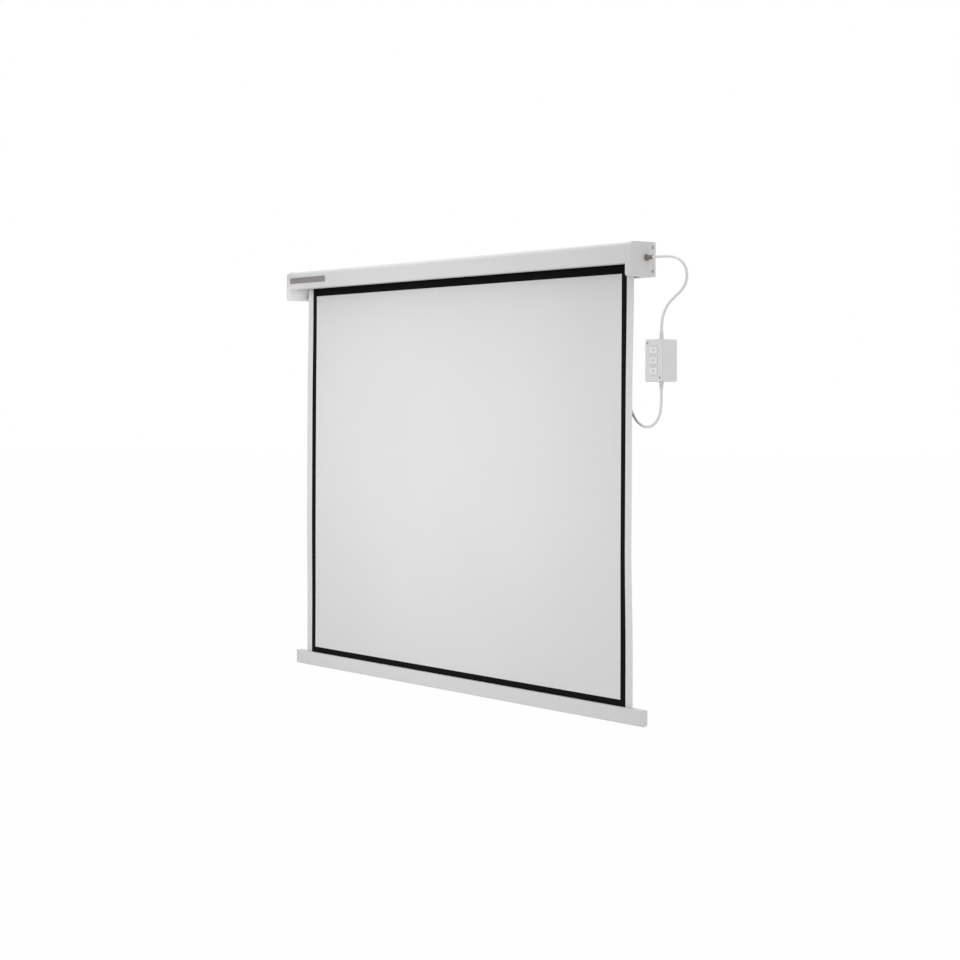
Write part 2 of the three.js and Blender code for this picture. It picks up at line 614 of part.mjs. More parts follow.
/** The bar's extrusion: a slot and a channel for the cloth's hem, and a hollow for the weight. */
function barSection() {
  const depth = BAR_HALF_DEPTH;
  const section = new THREE.Shape();
  const [slot, channel, wall] = [1.5, 5, 2];
  const mouth = Math.asin(slot / channel);
  const right = Math.PI / 2;
  section.moveTo(slot, 0);
  section.lineTo(depth - 3, 0);
  section.absarc(depth - 3, -3, 3, right, 0, true);
  section.absarc(depth - 8, -BAR_HEIGHT + 8, 8, 0, -right, true);
  section.absarc(-depth + 8, -BAR_HEIGHT + 8, 8, -right, -2 * right, true);
  section.absarc(-depth + 3, -3, 3, 2 * right, right, true);
  section.lineTo(-slot, 0);
  section.absarc(0, -HEM_DROP, channel, right + mouth, 5 * right - mouth);
  section.holes.push(roundedRectangle(
    [-depth + wall, depth - wall], [-BAR_HEIGHT + wall, -HEM_DROP - channel - wall], [6, 6, 1, 1],
  ));
  return section;
}

function buildBar() {
  const group = groupAt(0, CLOTH_Y, BAR_TOP_Z);
  const end = CASE_HALF_LENGTH;
  const barEnd = end - BAR_CAP - GAP;
  add(group, 'bottom_bar', extrudedX(barSection(), [-barEnd, barEnd], 4), WHITE_PAINT());

  const face = roundedRectangle([-BAR_HALF_DEPTH, BAR_HALF_DEPTH], [-BAR_HEIGHT, 0], [8, 8, 3, 3]);
  const pegZ = [-BAR_HEIGHT + 8, -HEM_DROP - 9];
  const cap = join(
    extrudedX(face, [end - BAR_CAP, end], 4),
    box([barEnd - 7, end - 1], [-8.5, -6.5], pegZ),
    box([barEnd - 7, end - 1], [6.5, 8.5], pegZ),
  );
  add(group, 'right_bar_cap', cap, WHITE_PLASTIC());
  add(group, 'left_bar_cap', mirrored(cap), WHITE_PLASTIC());

  const hemEnd = CLOTH_WIDTH / 2;
  add(group, 'hem_rod', rodX(HEM_ROD_RADIUS, [-hemEnd, hemEnd], 0, -HEM_DROP, 16), BRIGHT_STEEL());
  add(group, 'weight_rod', rodX(WEIGHT_RADIUS, [-barEnd + 10, barEnd - 10], 0, -WEIGHT_DROP), ZINC_STEEL());
  return group;
}

/** The box's outline in X and Z, shrunk by a wall where it is the inside. */
function boxOutline(inset, radius) {
  const [w, h] = [BOX_HALF_WIDTH - inset, BOX_HALF_HEIGHT - inset];
  return roundedRectangle([-w, w], [-h, h], [radius, radius, radius, radius]);
}

function switchBackBox() {
  const posts = BOX_SCREW_PLACES.map(([x, z]) => rodY(3.8, [-BOX_SPLIT, -1], x, z, 12));
  const supports = [[-10, 30], [10, -30]].map(([x, z]) => rodY(3, [-13.7, -1], x, z, 12));
  const gland = (z) => rodZ(4.8, [z - 4, z + 4], 0, BOX_EXIT_Y);
  const inside = extrudedY(boxOutline(BOX_WALL, 2), [-2, -BOX_SPLIT - 1]);
  const shell = cut(extrudedY(boxOutline(0, 4), [0, -BOX_SPLIT]), inside);
  return cut(
    join(shell, ...posts, ...supports),
    ...BOX_SCREW_PLACES.map(([x, z]) => rodY(1.8, [-BOX_SPLIT - 1, -5], x, z, 12)),
    gland(BOX_HALF_HEIGHT),
    gland(-BOX_HALF_HEIGHT),
    rodY(2.3, [-3, 1], 0, 42, 16),
    rodY(2.3, [-3, 1], 0, -42, 16),
  );
}

function switchFrontCover() {
  const [back, front] = [-BOX_SPLIT - GAP, -BOX_DEPTH];
  const inner = front + BOX_WALL;
  const rim = extrudedY(boxOutline(0, 4), [back, front + 1.5]);
  const face = extrudedY(boxOutline(1.2, 3), [back, front]);
  const bosses = BOX_SCREW_PLACES.map(([x, z]) => rodY(4.8, [inner - 1, back], x, z, 12));
  const keyHole = (z) => {
    const [w, h] = [KEY_WIDTH / 2 + 0.4, KEY_HEIGHT / 2 + 0.4];
    return extrudedY(roundedRectangle([-w, w], [z - h, z + h], [2, 2, 2, 2]), [front - 1, inner + 1]);
  };
  return cut(
    join(cut(join(rim, face), extrudedY(boxOutline(BOX_WALL, 2), [back + 1, inner])), ...bosses),
    ...[KEY_PITCH, 0, -KEY_PITCH].map(keyHole),
    ...BOX_SCREW_PLACES.flatMap(([x, z]) => [
      rodY(1.8, [front - 1, back + 1], x, z, 12),
      rodY(3.6, [front - 1, front + 4], x, z, 12),
    ]),
  );
}

/** A press key about its own middle: the face that is pushed, a flange behind the cover, a stem. */
function pressKey() {
  const inner = -BOX_DEPTH + BOX_WALL + GAP;
  const [w, h] = [KEY_WIDTH / 2, KEY_HEIGHT / 2];
  const face = roundedRectangle([-w, w], [-h, h], [2, 2, 2, 2]);
  return join(
    extrudedY(face, [inner, -BOX_DEPTH - 2]),
    box([-w - 2, w + 2], [inner, inner + 1.5], [-h - 1.5, h + 1.5]),
    box([-4, 4], [inner + 1, -37 - GAP], [-4, 4]),
  );
}

/** The switch mechanism: a block with a well for each key's stem. */
function switchModule() {
  const wells = [KEY_PITCH, 0, -KEY_PITCH].map((z) => box([-4.6, 4.6], [-38, -32], [z - 4.6, z + 4.6]));
  return cut(box([-17, 17], [-37, -14], [-41, 41]), ...wells);
}

function boxScrew([x, z]) {
  const seat = -BOX_DEPTH + 4 - GAP;
  const screw = join(rodY(1.5, [-12, seat - 1], x, z, 12), rodY(3.3, [seat - 2.2, seat], x, z, 16));
  return cut(screw, box([x - 2.6, x + 2.6], [seat - 3, seat - 1], [z - 0.5, z + 0.5]));
}

/** A moulded strain relief along Z: a flange on the box and a tapering sleeve. */
function boxGland(upwards) {
  const z = BOX_HALF_HEIGHT + GAP;
  const profile = [[z - 5, 0], [z - 5, 4.5], [z, 4.5], [z, 6.5], [z + 2, 6.5], [z + 2, 5.4]];
  const sleeve = turnedZ([...profile, [z + BOX_GLAND_LENGTH, 4.6], [z + BOX_GLAND_LENGTH, 0]]);
  const placed = upwards ? sleeve : closed(sleeve.scale(1, 1, -1));
  return placed.translate(0, BOX_EXIT_Y, 0);
}

function buildSwitchBox() {
  const group = groupAt(BOX_X, 0, BOX_Z);
  add(group, 'switch_back_box', switchBackBox(), WHITE_PLASTIC());
  add(group, 'switch_front_cover', switchFrontCover(), WHITE_PLASTIC());
  add(group, 'switch_module', switchModule(), GREY_PLASTIC());
  for (const [name, z] of [['up', KEY_PITCH], ['stop', 0], ['down', -KEY_PITCH]]) {
    const key = groupAt(0, 0, z);
    add(key, `${name}_key`, pressKey(), finish(0xe6e6e6, 0.4));
    group.add(key);
  }
  add(group, 'box_screw_upper', boxScrew(BOX_SCREW_PLACES[0]), BRIGHT_STEEL());
  add(group, 'box_screw_lower', boxScrew(BOX_SCREW_PLACES[1]), BRIGHT_STEEL());
  add(group, 'switch_top_gland', boxGland(true), WHITE_PLASTIC());
  add(group, 'switch_bottom_gland', boxGland(false), WHITE_PLASTIC());
  return group;
}

/** The rubber sleeve where the lead leaves the right end cap, and the terminals behind it. */
function buildCaseOutlet() {
  const group = groupAt(...CASE_EXIT.toArray());
  const gland = turnedX([
    [-8, 0], [-8, 5], [GAP, 5], [GAP, 8], [GAP + 2, 8], [GAP + 2, 5.8], [GLAND_LENGTH, 4.8],
    [GLAND_LENGTH, 0],
  ]);
  add(group, 'case_gland', gland, finish(0x76726f, 0.7));
  const block = cut(
    box([-15, -CAP_WALL - GAP], [-30, -10], [-34.5, -8.5]),
    ...[-28, -21, -14].flatMap((z) => [rodX(1.8, [-16, -9], -24, z, 8), rodX(1.8, [-16, -9], -16, z, 8)]),
  );
  add(group, 'terminal_block', block, finish(0xe2e0da, 0.5));
  return group;
}

/** A stretch of lead along points that are chosen by hand. */
function leadTube(points) {
  const path = new THREE.CatmullRomCurve3(points.map((point) => new THREE.Vector3(...point)));
  const sides = 8;
  const corners = Array.from({ length: sides }, (_, i) => {
    const angle = (2 * Math.PI * (i + 0.5)) / sides;
    return [(LEAD_DIAMETER / 2) * Math.cos(angle), (LEAD_DIAMETER / 2) * Math.sin(angle)];
  });
  const steps = Math.ceil(path.getLength() / LEAD_STEP);
  return new THREE.ExtrudeGeometry(outline(corners), { steps, extrudePath: path, bevelEnabled: false });
}

/** A point on the coil's centre line, so many turns from its start. It spirals in along the wall,
 * climbs a layer in the half turn about its middle, and spirals out again in front. */
function coilPoint(turns) {
  const fromMiddle = turns - COIL_TURNS / 2;
  const radius = COIL_LEAST_RADIUS + COIL_PITCH * Math.abs(fromMiddle);
  const climb = THREE.MathUtils.clamp(2 * fromMiddle + 0.5, 0, 1);
  const angle = 2 * Math.PI * turns;
  return new THREE.Vector3(
    COIL_X + radius * Math.cos(angle),
    THREE.MathUtils.lerp(COIL_BACK_Y, COIL_FRONT_Y, climb),
    COIL_Z + radius * Math.sin(angle),
  );
}

/** The coil's centre line, with a straight end one diameter long at each side. */
function coilLine(stepsPerTurn) {
  const count = COIL_TURNS * stepsPerTurn;
  const turns = Array.from({ length: count + 1 }, (_, i) => coilPoint(i / stepsPerTurn));
  const below = (point) => point.clone().add(new THREE.Vector3(0, 0, -LEAD_DIAMETER));
  return [below(turns[0]), ...turns, below(turns[count])];
}

/** The least gap between two turns of the coil, measured between points of its centre line. */
function coilGap() {
  const stepsPerTurn = 120;
  const line = coilLine(stepsPerTurn);
  let least = Infinity;
  for (let i = 0; i < line.length; i += 1) {
    for (let j = i + stepsPerTurn / 2; j < line.length; j += 1) {
      least = Math.min(least, line[i].distanceTo(line[j]));
    }
  }
  return least - LEAD_DIAMETER;
}

/** The coil as one unbroken tube. */
function coilTube() {
  const line = coilLine(COIL_STEPS);
  const across = new THREE.Vector3(0, 1, 0);
  const place = [];
  const faces = [];
  line.forEach((point, i) => {
    const ahead = line[Math.min(i + 1, line.length - 1)].clone().sub(line[Math.max(i - 1, 0)]).normalize();
    const side = across.clone().cross(ahead).normalize();
    const up = ahead.clone().cross(side);
    for (let k = 0; k < COIL_SIDES; k += 1) {
      const angle = (2 * Math.PI * k) / COIL_SIDES;
      const corner = point.clone()
        .addScaledVector(side, (LEAD_DIAMETER / 2) * Math.cos(angle))
        .addScaledVector(up, (LEAD_DIAMETER / 2) * Math.sin(angle));
      place.push(...corner.toArray());
      if (i < line.length - 1) {
        const [a, b] = [i * COIL_SIDES + k, i * COIL_SIDES + ((k + 1) % COIL_SIDES)];
        faces.push(a, b, b + COIL_SIDES, a, b + COIL_SIDES, a + COIL_SIDES);
      }
    }
  });
  const last = (line.length - 1) * COIL_SIDES;
  for (let k = 1; k < COIL_SIDES - 1; k += 1) {
    faces.push(0, k + 1, k, last, last + k, last + k + 1);
  }
  const tube = new THREE.BufferGeometry();
  tube.setAttribute('position', new THREE.Float32BufferAttribute(place, 3));
  tube.setIndex(faces);
  return tube;
}

/** A strap round the whole bundle, at the foot of the coil. */
function leadTie() {
  const reach = LEAD_DIAMETER / 2 + 0.4;
  const inner = {
    y: [COIL_FRONT_Y - reach, COIL_BACK_Y + reach],
    z: [COIL_Z - COIL_LEAST_RADIUS - 3 * COIL_PITCH - reach, COIL_Z - COIL_LEAST_RADIUS + reach + 1.6],
  };
  const grown = ([low, high]) => [low - 1.2, high + 1.2];
  const halfWidth = 7;
  return cut(
    box([COIL_X - halfWidth, COIL_X + halfWidth], grown(inner.y), grown(inner.z)),
    box([COIL_X - halfWidth - 1, COIL_X + halfWidth + 1], inner.y, inner.z),
  );
}

/** The plug, hanging with its pins down, about the middle of its cord end. */
function mainsPlug() {
  const [w, t, neck] = [PLUG_HALF_WIDTH, PLUG_HALF_THICKNESS, PLUG_NECK];
  const bottom = -neck - PLUG_LENGTH;
  const body = outline([
    [-5, -neck], [-w, -neck - 13], [-w, bottom + 3], [-w + 3, bottom],
    [w - 3, bottom], [w, bottom + 3], [w, -neck - 13], [5, -neck],
  ]);
  const sleeve = turnedZ([[0, 0], [0, 4.6], [-neck - 2, 5.6], [-neck - 2, 0]]);
  const pinHole = (x) => rodZ(PIN_RADIUS + GAP, [bottom - 1, bottom + 8], x, 0, 16);
  return cut(
    join(extrudedY(body, [t, -t]), sleeve),
    pinHole(-PIN_APART / 2),
    pinHole(PIN_APART / 2),
  );
}

function buildLeads() {
  const group = new THREE.Group();
  const glandReach = BOX_HALF_HEIGHT + GAP + BOX_GLAND_LENGTH + GAP;
  const [boxTop, boxBottom] = [BOX_Z + glandReach, BOX_Z - glandReach];
  const caseEnd = CASE_EXIT.x + GLAND_LENGTH + GAP;
  add(group, 'control_lead', leadTube([
    [caseEnd, -34, 4.5], [852, -34, 4.4], [869, -33.9, 4.2], [886, -33.7, 3.7], [902, -33.4, 2.4],
    [917, -32.9, -0.6], [931, -32.2, -6], [943, -31.4, -14.2], [951.5, -30.5, -25.5], [955.5, -29.5, -39],
    [954.5, -28.4, -53], [949, -27.3, -66], [939.5, -26.2, -77], [927, -25.2, -86], [913, -24.3, -94],
    [898.5, -23.6, -102.5], [885, -23, -112], [873.5, -22.5, -123.5], [864.5, -22.2, -137],
    [858.6, -22, -152], [856.3, -22, -166], [BOX_X, BOX_EXIT_Y, boxTop],
  ]), WHITE_LEAD());

  const coilStart = coilLine(COIL_STEPS)[0];
  const coilEnd = coilLine(COIL_STEPS).at(-1);
  add(group, 'mains_lead', leadTube([
    [BOX_X, BOX_EXIT_Y, boxBottom], [856, -22, -346], [855.6, -22, -361], [853.6, -21.8, -376],
    [848.6, -21.2, -390.5], [840, -20.4, -403], [827.8, -19.3, -412.8], [812.5, -17.8, -419],
    [796.5, -16.4, -421], [780.5, -15, -419], [765.2, -13.7, -413.2], [751.2, -12.5, -404],
    [738.8, -11.4, -391.5], [728, -10.4, -376], [719, -9.5, -357.5], [711.5, -8.8, -336], [705.7, -8.2, -311],
    [701.3, -7.7, -284], [698.5, -7.3, -254], [696.9, -7, -222], [coilStart.x, COIL_BACK_Y, -190],
    [coilStart.x, COIL_BACK_Y, -156], [coilStart.x, coilStart.y, coilStart.z - GAP],
  ]), WHITE_LEAD());
  add(group, 'mains_lead_coil', coilTube(), WHITE_LEAD());
  const tail = [
    [0, COIL_FRONT_Y, -131], [0.1, -14.3, -140], [0.2, -13.9, -149], [0.3, -13.4, -158], [0.5, -12.8, -167],
    [0.7, -12.2, -176], [0.9, -11.6, -185], [1.1, -11.1, -194], [1.2, -10.7, -203], [1.2, -10.4, -212],
  ];
  add(group, 'mains_lead_tail', leadTube([
    [coilEnd.x, coilEnd.y, coilEnd.z - GAP],
    ...tail.map(([x, y, z]) => [coilEnd.x + x, y, z]),
    [coilEnd.x + 1.2, PLUG_Y, PLUG_TOP_Z + GAP],
  ]), WHITE_LEAD());
  add(group, 'lead_tie', leadTie(), BLACK_PLASTIC());

  const plug = groupAt(coilEnd.x + 1.2, PLUG_Y, PLUG_TOP_Z);
  add(plug, 'mains_plug', mainsPlug(), finish(0xe8e8e7, 0.4));
  const pinTop = -PLUG_NECK - PLUG_LENGTH + 8 - GAP;
  const pinTip = -PLUG_NECK - PLUG_LENGTH - PIN_LENGTH;
  const pin = turnedZ([
    [pinTop, 0], [pinTop, PIN_RADIUS], [pinTip + 1, PIN_RADIUS], [pinTip, PIN_RADIUS - 1], [pinTip, 0],
  ], 16);
  add(plug, 'plug_pin_left', pin.clone().translate(-PIN_APART / 2, 0, 0), finish(0xc8b27a, 0.3, 1));
  add(plug, 'plug_pin_right', pin.clone().translate(PIN_APART / 2, 0, 0), finish(0xc8b27a, 0.3, 1));
  group.add(plug);
  console.log(`least gap of the coil to itself: ${coilGap().toFixed(2)} mm`);
  return group;
}

const projectorScreen = new THREE.Group();
projectorScreen.name = 'projector_screen';
projectorScreen.add(
  buildCase(),
  buildBrackets(),
  buildRoller(),
  buildMotor(),
  buildCloth(),
  buildBar(),
  buildSwitchBox(),
  buildCaseOutlet(),
  buildLeads(),
);

export default projectorScreen;
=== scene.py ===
"""A wall-hung motorized projector screen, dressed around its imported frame.

Sizes are in millimetres wherever they are written down, and in metres in Blender. +X runs along the case to
the viewer's right, +Y into the wall, +Z up, and the origin is on the wall at the middle of the case.
"""

from __future__ import annotations

import json
import logging
import math
import sys
from collections.abc import Callable, Iterable, Sequence
from dataclasses import dataclass
from enum import Enum

import bmesh
import bpy
from mathutils import Matrix, Vector

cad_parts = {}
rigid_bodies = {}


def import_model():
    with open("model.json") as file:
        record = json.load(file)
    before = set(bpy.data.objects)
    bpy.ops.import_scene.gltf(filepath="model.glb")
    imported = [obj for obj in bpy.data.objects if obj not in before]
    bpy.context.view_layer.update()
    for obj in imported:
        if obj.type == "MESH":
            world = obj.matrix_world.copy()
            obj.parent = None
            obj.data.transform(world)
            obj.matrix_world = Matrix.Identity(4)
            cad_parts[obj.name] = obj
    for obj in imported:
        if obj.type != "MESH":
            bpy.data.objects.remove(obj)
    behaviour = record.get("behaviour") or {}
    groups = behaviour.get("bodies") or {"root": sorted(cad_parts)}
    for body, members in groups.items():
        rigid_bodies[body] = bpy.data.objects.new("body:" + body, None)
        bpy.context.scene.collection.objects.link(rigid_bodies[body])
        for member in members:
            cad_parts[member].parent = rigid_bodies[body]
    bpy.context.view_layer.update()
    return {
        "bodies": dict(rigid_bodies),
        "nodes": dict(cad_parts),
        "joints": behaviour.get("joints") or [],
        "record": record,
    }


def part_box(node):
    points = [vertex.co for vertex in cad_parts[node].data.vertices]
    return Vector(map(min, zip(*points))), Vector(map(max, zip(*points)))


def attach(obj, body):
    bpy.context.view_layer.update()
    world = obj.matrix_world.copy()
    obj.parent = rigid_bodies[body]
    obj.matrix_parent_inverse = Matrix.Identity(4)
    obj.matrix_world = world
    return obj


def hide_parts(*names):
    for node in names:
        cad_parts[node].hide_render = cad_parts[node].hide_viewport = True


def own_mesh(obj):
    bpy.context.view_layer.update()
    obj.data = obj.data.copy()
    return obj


Place = Sequence[float]
Thing = bpy.types.Object
Tree = bpy.types.NodeTree
Socket = bpy.types.NodeSocket

LOG = logging.getLogger("projector_screen")
MM = 0.001

FRAME: dict = {}

# The object's two ends, and which way each is along X
SIDES = {"left": -1, "right": 1}

# How near a place is to a line or a face that it counts as on, in mm
NEAR = 0.1
# The least part of a normal along an axis, where a face counts as facing that way
FACING = 0.9
# Edges sharper than this are broken and shaded sharp on pieces with fine flats, in degrees
CRISP = 40

# A Wave texture of scale one turns this far in a metre, in radians
WAVE_RATE = 20.0
# The finer layers in a finish's clouds, and how strong each is beside the one before
CLOUD_DETAIL = 3.0
CLOUD_ROUGHNESS = 0.55
# Roughness wanders in patches this many times smaller than the patches of tone
WANDER_FINER = 3


class Body(Enum):
    """The bodies of the frame that pieces ride on."""

    CASE = "case"
    ROLLER = "roller"
    BAR = "bar"
    UP = "up_button"
    STOP = "stop_button"
    DOWN = "down_button"
    UPPER_LIMIT = "upper_limit_setting"
    LOWER_LIMIT = "lower_limit_setting"


class Slot(Enum):
    """The record's material slots."""

    WHITE_PAINT = "white_paint"
    BAR_PAINT = "bar_paint"
    WHITE_PLASTIC = "white_plastic"
    BOX_PLASTIC = "box_plastic"
    KEY_PLASTIC = "key_plastic"
    PLUG_PLASTIC = "plug_plastic"
    GREY_PLASTIC = "grey_plastic"
    BLACK_PLASTIC = "black_plastic"
    YELLOW_PLASTIC = "yellow_plastic"
    BADGE_GREY = "badge_grey"
    CAPACITOR_SHELL = "capacitor_shell"
    ZINC_STEEL = "zinc_steel"
    BRIGHT_STEEL = "bright_steel"
    BRAKE_STEEL = "brake_steel"
    COPPER_WINDING = "copper_winding"
    BRONZE = "bronze"
    PIN_BRASS = "pin_brass"
    GLAND_RUBBER = "gland_rubber"
    LEAD_WHITE = "lead_white"
    CLOTH_WHITE = "cloth_white"
    CLOTH_BLACK = "cloth_black"


class Axis(Enum):
    """The axis that a turned piece is turned about."""

    X = 0
    Y = 1
    Z = 2


def linear(code: str) -> tuple[float, float, float, float]:
    """Turns an sRGB hex colour to linear light.

    Args:
        code: Six hex digits.

    Returns:
        Red, green, blue and an alpha of one.
    """

    def channel(value: float) -> float:
        """One channel, from sRGB to linear."""
        return value / 12.92 if value <= 0.04045 else ((value + 0.055) / 1.055) ** 2.4

    red, green, blue = (channel(int(code[i : i + 2], 16) / 255) for i in (0, 2, 4))
    return red, green, blue, 1.0


def metres(place: Place) -> Vector:
    """A place in millimetres as one in metres."""
    return Vector(place) * MM


def add_node(
    tree: Tree,
    kind: str,
    values: dict | None = None,
    links: dict | None = None,
    **settings: object,
) -> bpy.types.Node:
    """Adds a node with its settings, its values and its links.

    Args:
        tree: The material's or world's tree.
        kind: Blender's name of the node's type, without "ShaderNode".
        values: Input names or numbers, with their values.
        links: Input names or numbers, with the sockets that feed them.
        settings: The node's own properties.

    Returns:
        The new node.
    """
    node = tree.nodes.new("ShaderNode" + kind)
    for name, value in settings.items():
        setattr(node, name, value)
    for name, value in (values or {}).items():
        node.inputs[name].default_value = value
    for name, socket in (links or {}).items():
        tree.links.new(socket, node.inputs[name])
    return node


def wave_scale(pitch_mm: float) -> float:
    """The scale of a Wave texture whose bands lie a pitch in millimetres apart."""
    return 2 * math.pi / (WAVE_RATE * pitch_mm * MM)


# Finishes


@dataclass(frozen=True)
class Finish:
    """A surface with two close tones in soft patches, a fine relief, and roughness that wanders a little.

    Attributes:
        name: What the material is called.
        colour: The main tone.
        second: The other tone.
        patch_mm: Size of the patches of tone.
        roughness: Mean roughness.
        wander: How far the roughness goes to each side of its mean.
        grain_mm: Size of the relief's grain.
        relief_mm: Height of the relief.
        metallic: One on bare metal.
        coat: Weight of a clear, glossy top layer.
        sheen: Weight of the soft glow of fibres.
        gloss: Specular level, half for a plain plastic.
    """

    name: str
    colour: str
    second: str
    patch_mm: float = 60.0
    roughness: float = 0.5
    wander: float = 0.05
    grain_mm: float = 0.6
    relief_mm: float = 0.02
    metallic: float = 0.0
    coat: float = 0.0
    sheen: float = 0.0
    gloss: float = 0.5

    def place(self, tree: Tree) -> Socket:
        """The coordinates that the patterns read, in metres."""
        return add_node(tree, "TexCoord").outputs["Object"]

    def cloud(self, tree: Tree, place: Socket, size_mm: float) -> Socket:
        """Soft noise whose features have a size in millimetres."""
        values = {"Scale": 1 / (size_mm * MM), "Detail": CLOUD_DETAIL, "Roughness": CLOUD_ROUGHNESS}
        return add_node(tree, "TexNoise", values, {"Vector": place}).outputs[0]

    def tone(self, tree: Tree, place: Socket) -> Socket:
        """Where the second tone shows, from zero to one."""
        return self.cloud(tree, place, self.patch_mm)

    def height(self, tree: Tree, place: Socket) -> Socket:
        """The relief, from zero to one."""
        return self.cloud(tree, place, self.grain_mm)

    def material(self) -> bpy.types.Material:
        """Builds the material once.

        Returns:
            The material, new or already built.
        """
        known = bpy.data.materials.get(self.name)
        if known:
            return known
        material = bpy.data.materials.new(self.name)
        material.use_nodes = True
        tree = material.node_tree
        tree.nodes.clear()
        place = self.place(tree)
        tone = self.tone(tree, place)
        mixed = add_node(
            tree,
            "Mix",
            {6: linear(self.colour), 7: linear(self.second)},
            {0: tone},
            data_type="RGBA",
        )
        rough = add_node(
            tree,
            "MapRange",
            {"To Min": self.roughness - self.wander, "To Max": self.roughness + self.wander},
            {"Value": self.cloud(tree, place, self.patch_mm / WANDER_FINER)},
        )
        bump = add_node(
            tree,
            "Bump",
            {"Strength": 1.0, "Distance": self.relief_mm * MM},
            {"Height": self.height(tree, place)},
        )
        shader = add_node(
            tree,
            "BsdfPrincipled",
            {
                "Metallic": self.metallic,
                "Coat Weight": self.coat,
                "Sheen Weight": self.sheen,
                "Specular IOR Level": self.gloss,
            },
            {"Base Color": mixed.outputs[2], "Roughness": rough.outputs[0], "Normal": bump.outputs[0]},
        )
        add_node(tree, "OutputMaterial", links={"Surface": shader.outputs[0]})
        return material


@dataclass(frozen=True)
class Spangled(Finish):
    """Zinc plating: crystals of slightly different greys, each with its own sharp edge."""

    def tone(self, tree: Tree, place: Socket) -> Socket:
        """One grey for each crystal."""
        crystals = add_node(tree, "TexVoronoi", {"Scale": 1 / (self.patch_mm * MM)}, {"Vector": place})
        return add_node(tree, "SeparateColor", links={0: crystals.outputs["Color"]}).outputs[0]


@dataclass(frozen=True)
class Lined(Finish):
    """A surface with fine lines along one way, as turning, extruding or winding leaves them.

    Attributes:
        along: How much longer the lines are than wide, along X, Y and Z.
    """

    along: tuple[float, float, float] = (20.0, 1.0, 1.0)

    def height(self, tree: Tree, place: Socket) -> Socket:
        """Noise that is drawn out along the lines."""
        shrunk = tuple(1 / part for part in self.along)
        drawn = add_node(tree, "Mapping", {"Scale": shrunk}, {"Vector": place})
        return self.cloud(tree, drawn.outputs[0], self.grain_mm)


@dataclass(frozen=True)
class Woven(Finish):
    """Coated cloth: two sets of threads that cross, read from the piece's own flat coordinates.

    Attributes:
        waver: How far the threads waver from a straight line.
        waver_detail: How many finer layers that has.
    """

    waver: float = 0.6
    waver_detail: float = 1.0

    def place(self, tree: Tree) -> Socket:
        """The cloth's flat coordinates, in metres."""
        return add_node(tree, "UVMap", uv_map="flat").outputs[0]

    def height(self, tree: Tree, place: Socket) -> Socket:
        """Threads one way and the other, the higher one on top."""
        values = {"Scale": wave_scale(self.grain_mm), "Distortion": self.waver, "Detail": self.waver_detail}
        waves = [
            add_node(tree, "TexWave", values, {"Vector": place}, bands_direction=way).outputs[1]
            for way in ("X", "Y")
        ]
        return add_node(tree, "Math", links={0: waves[0], 1: waves[1]}, operation="MAXIMUM").outputs[0]


@dataclass(frozen=True)
class Wound(Finish):
    """Copper wire in slots of steel: bright turns side by side along X, with dark laminations between.

    Attributes:
        waver: How far the turns waver from a true circle.
    """

    waver: float = 1.0

    def tone(self, tree: Tree, place: Socket) -> Socket:
        """Bands across the motor's length."""
        values = {"Scale": wave_scale(self.patch_mm), "Distortion": self.waver}
        return add_node(tree, "TexWave", values, {"Vector": place}, bands_direction="X").outputs[1]


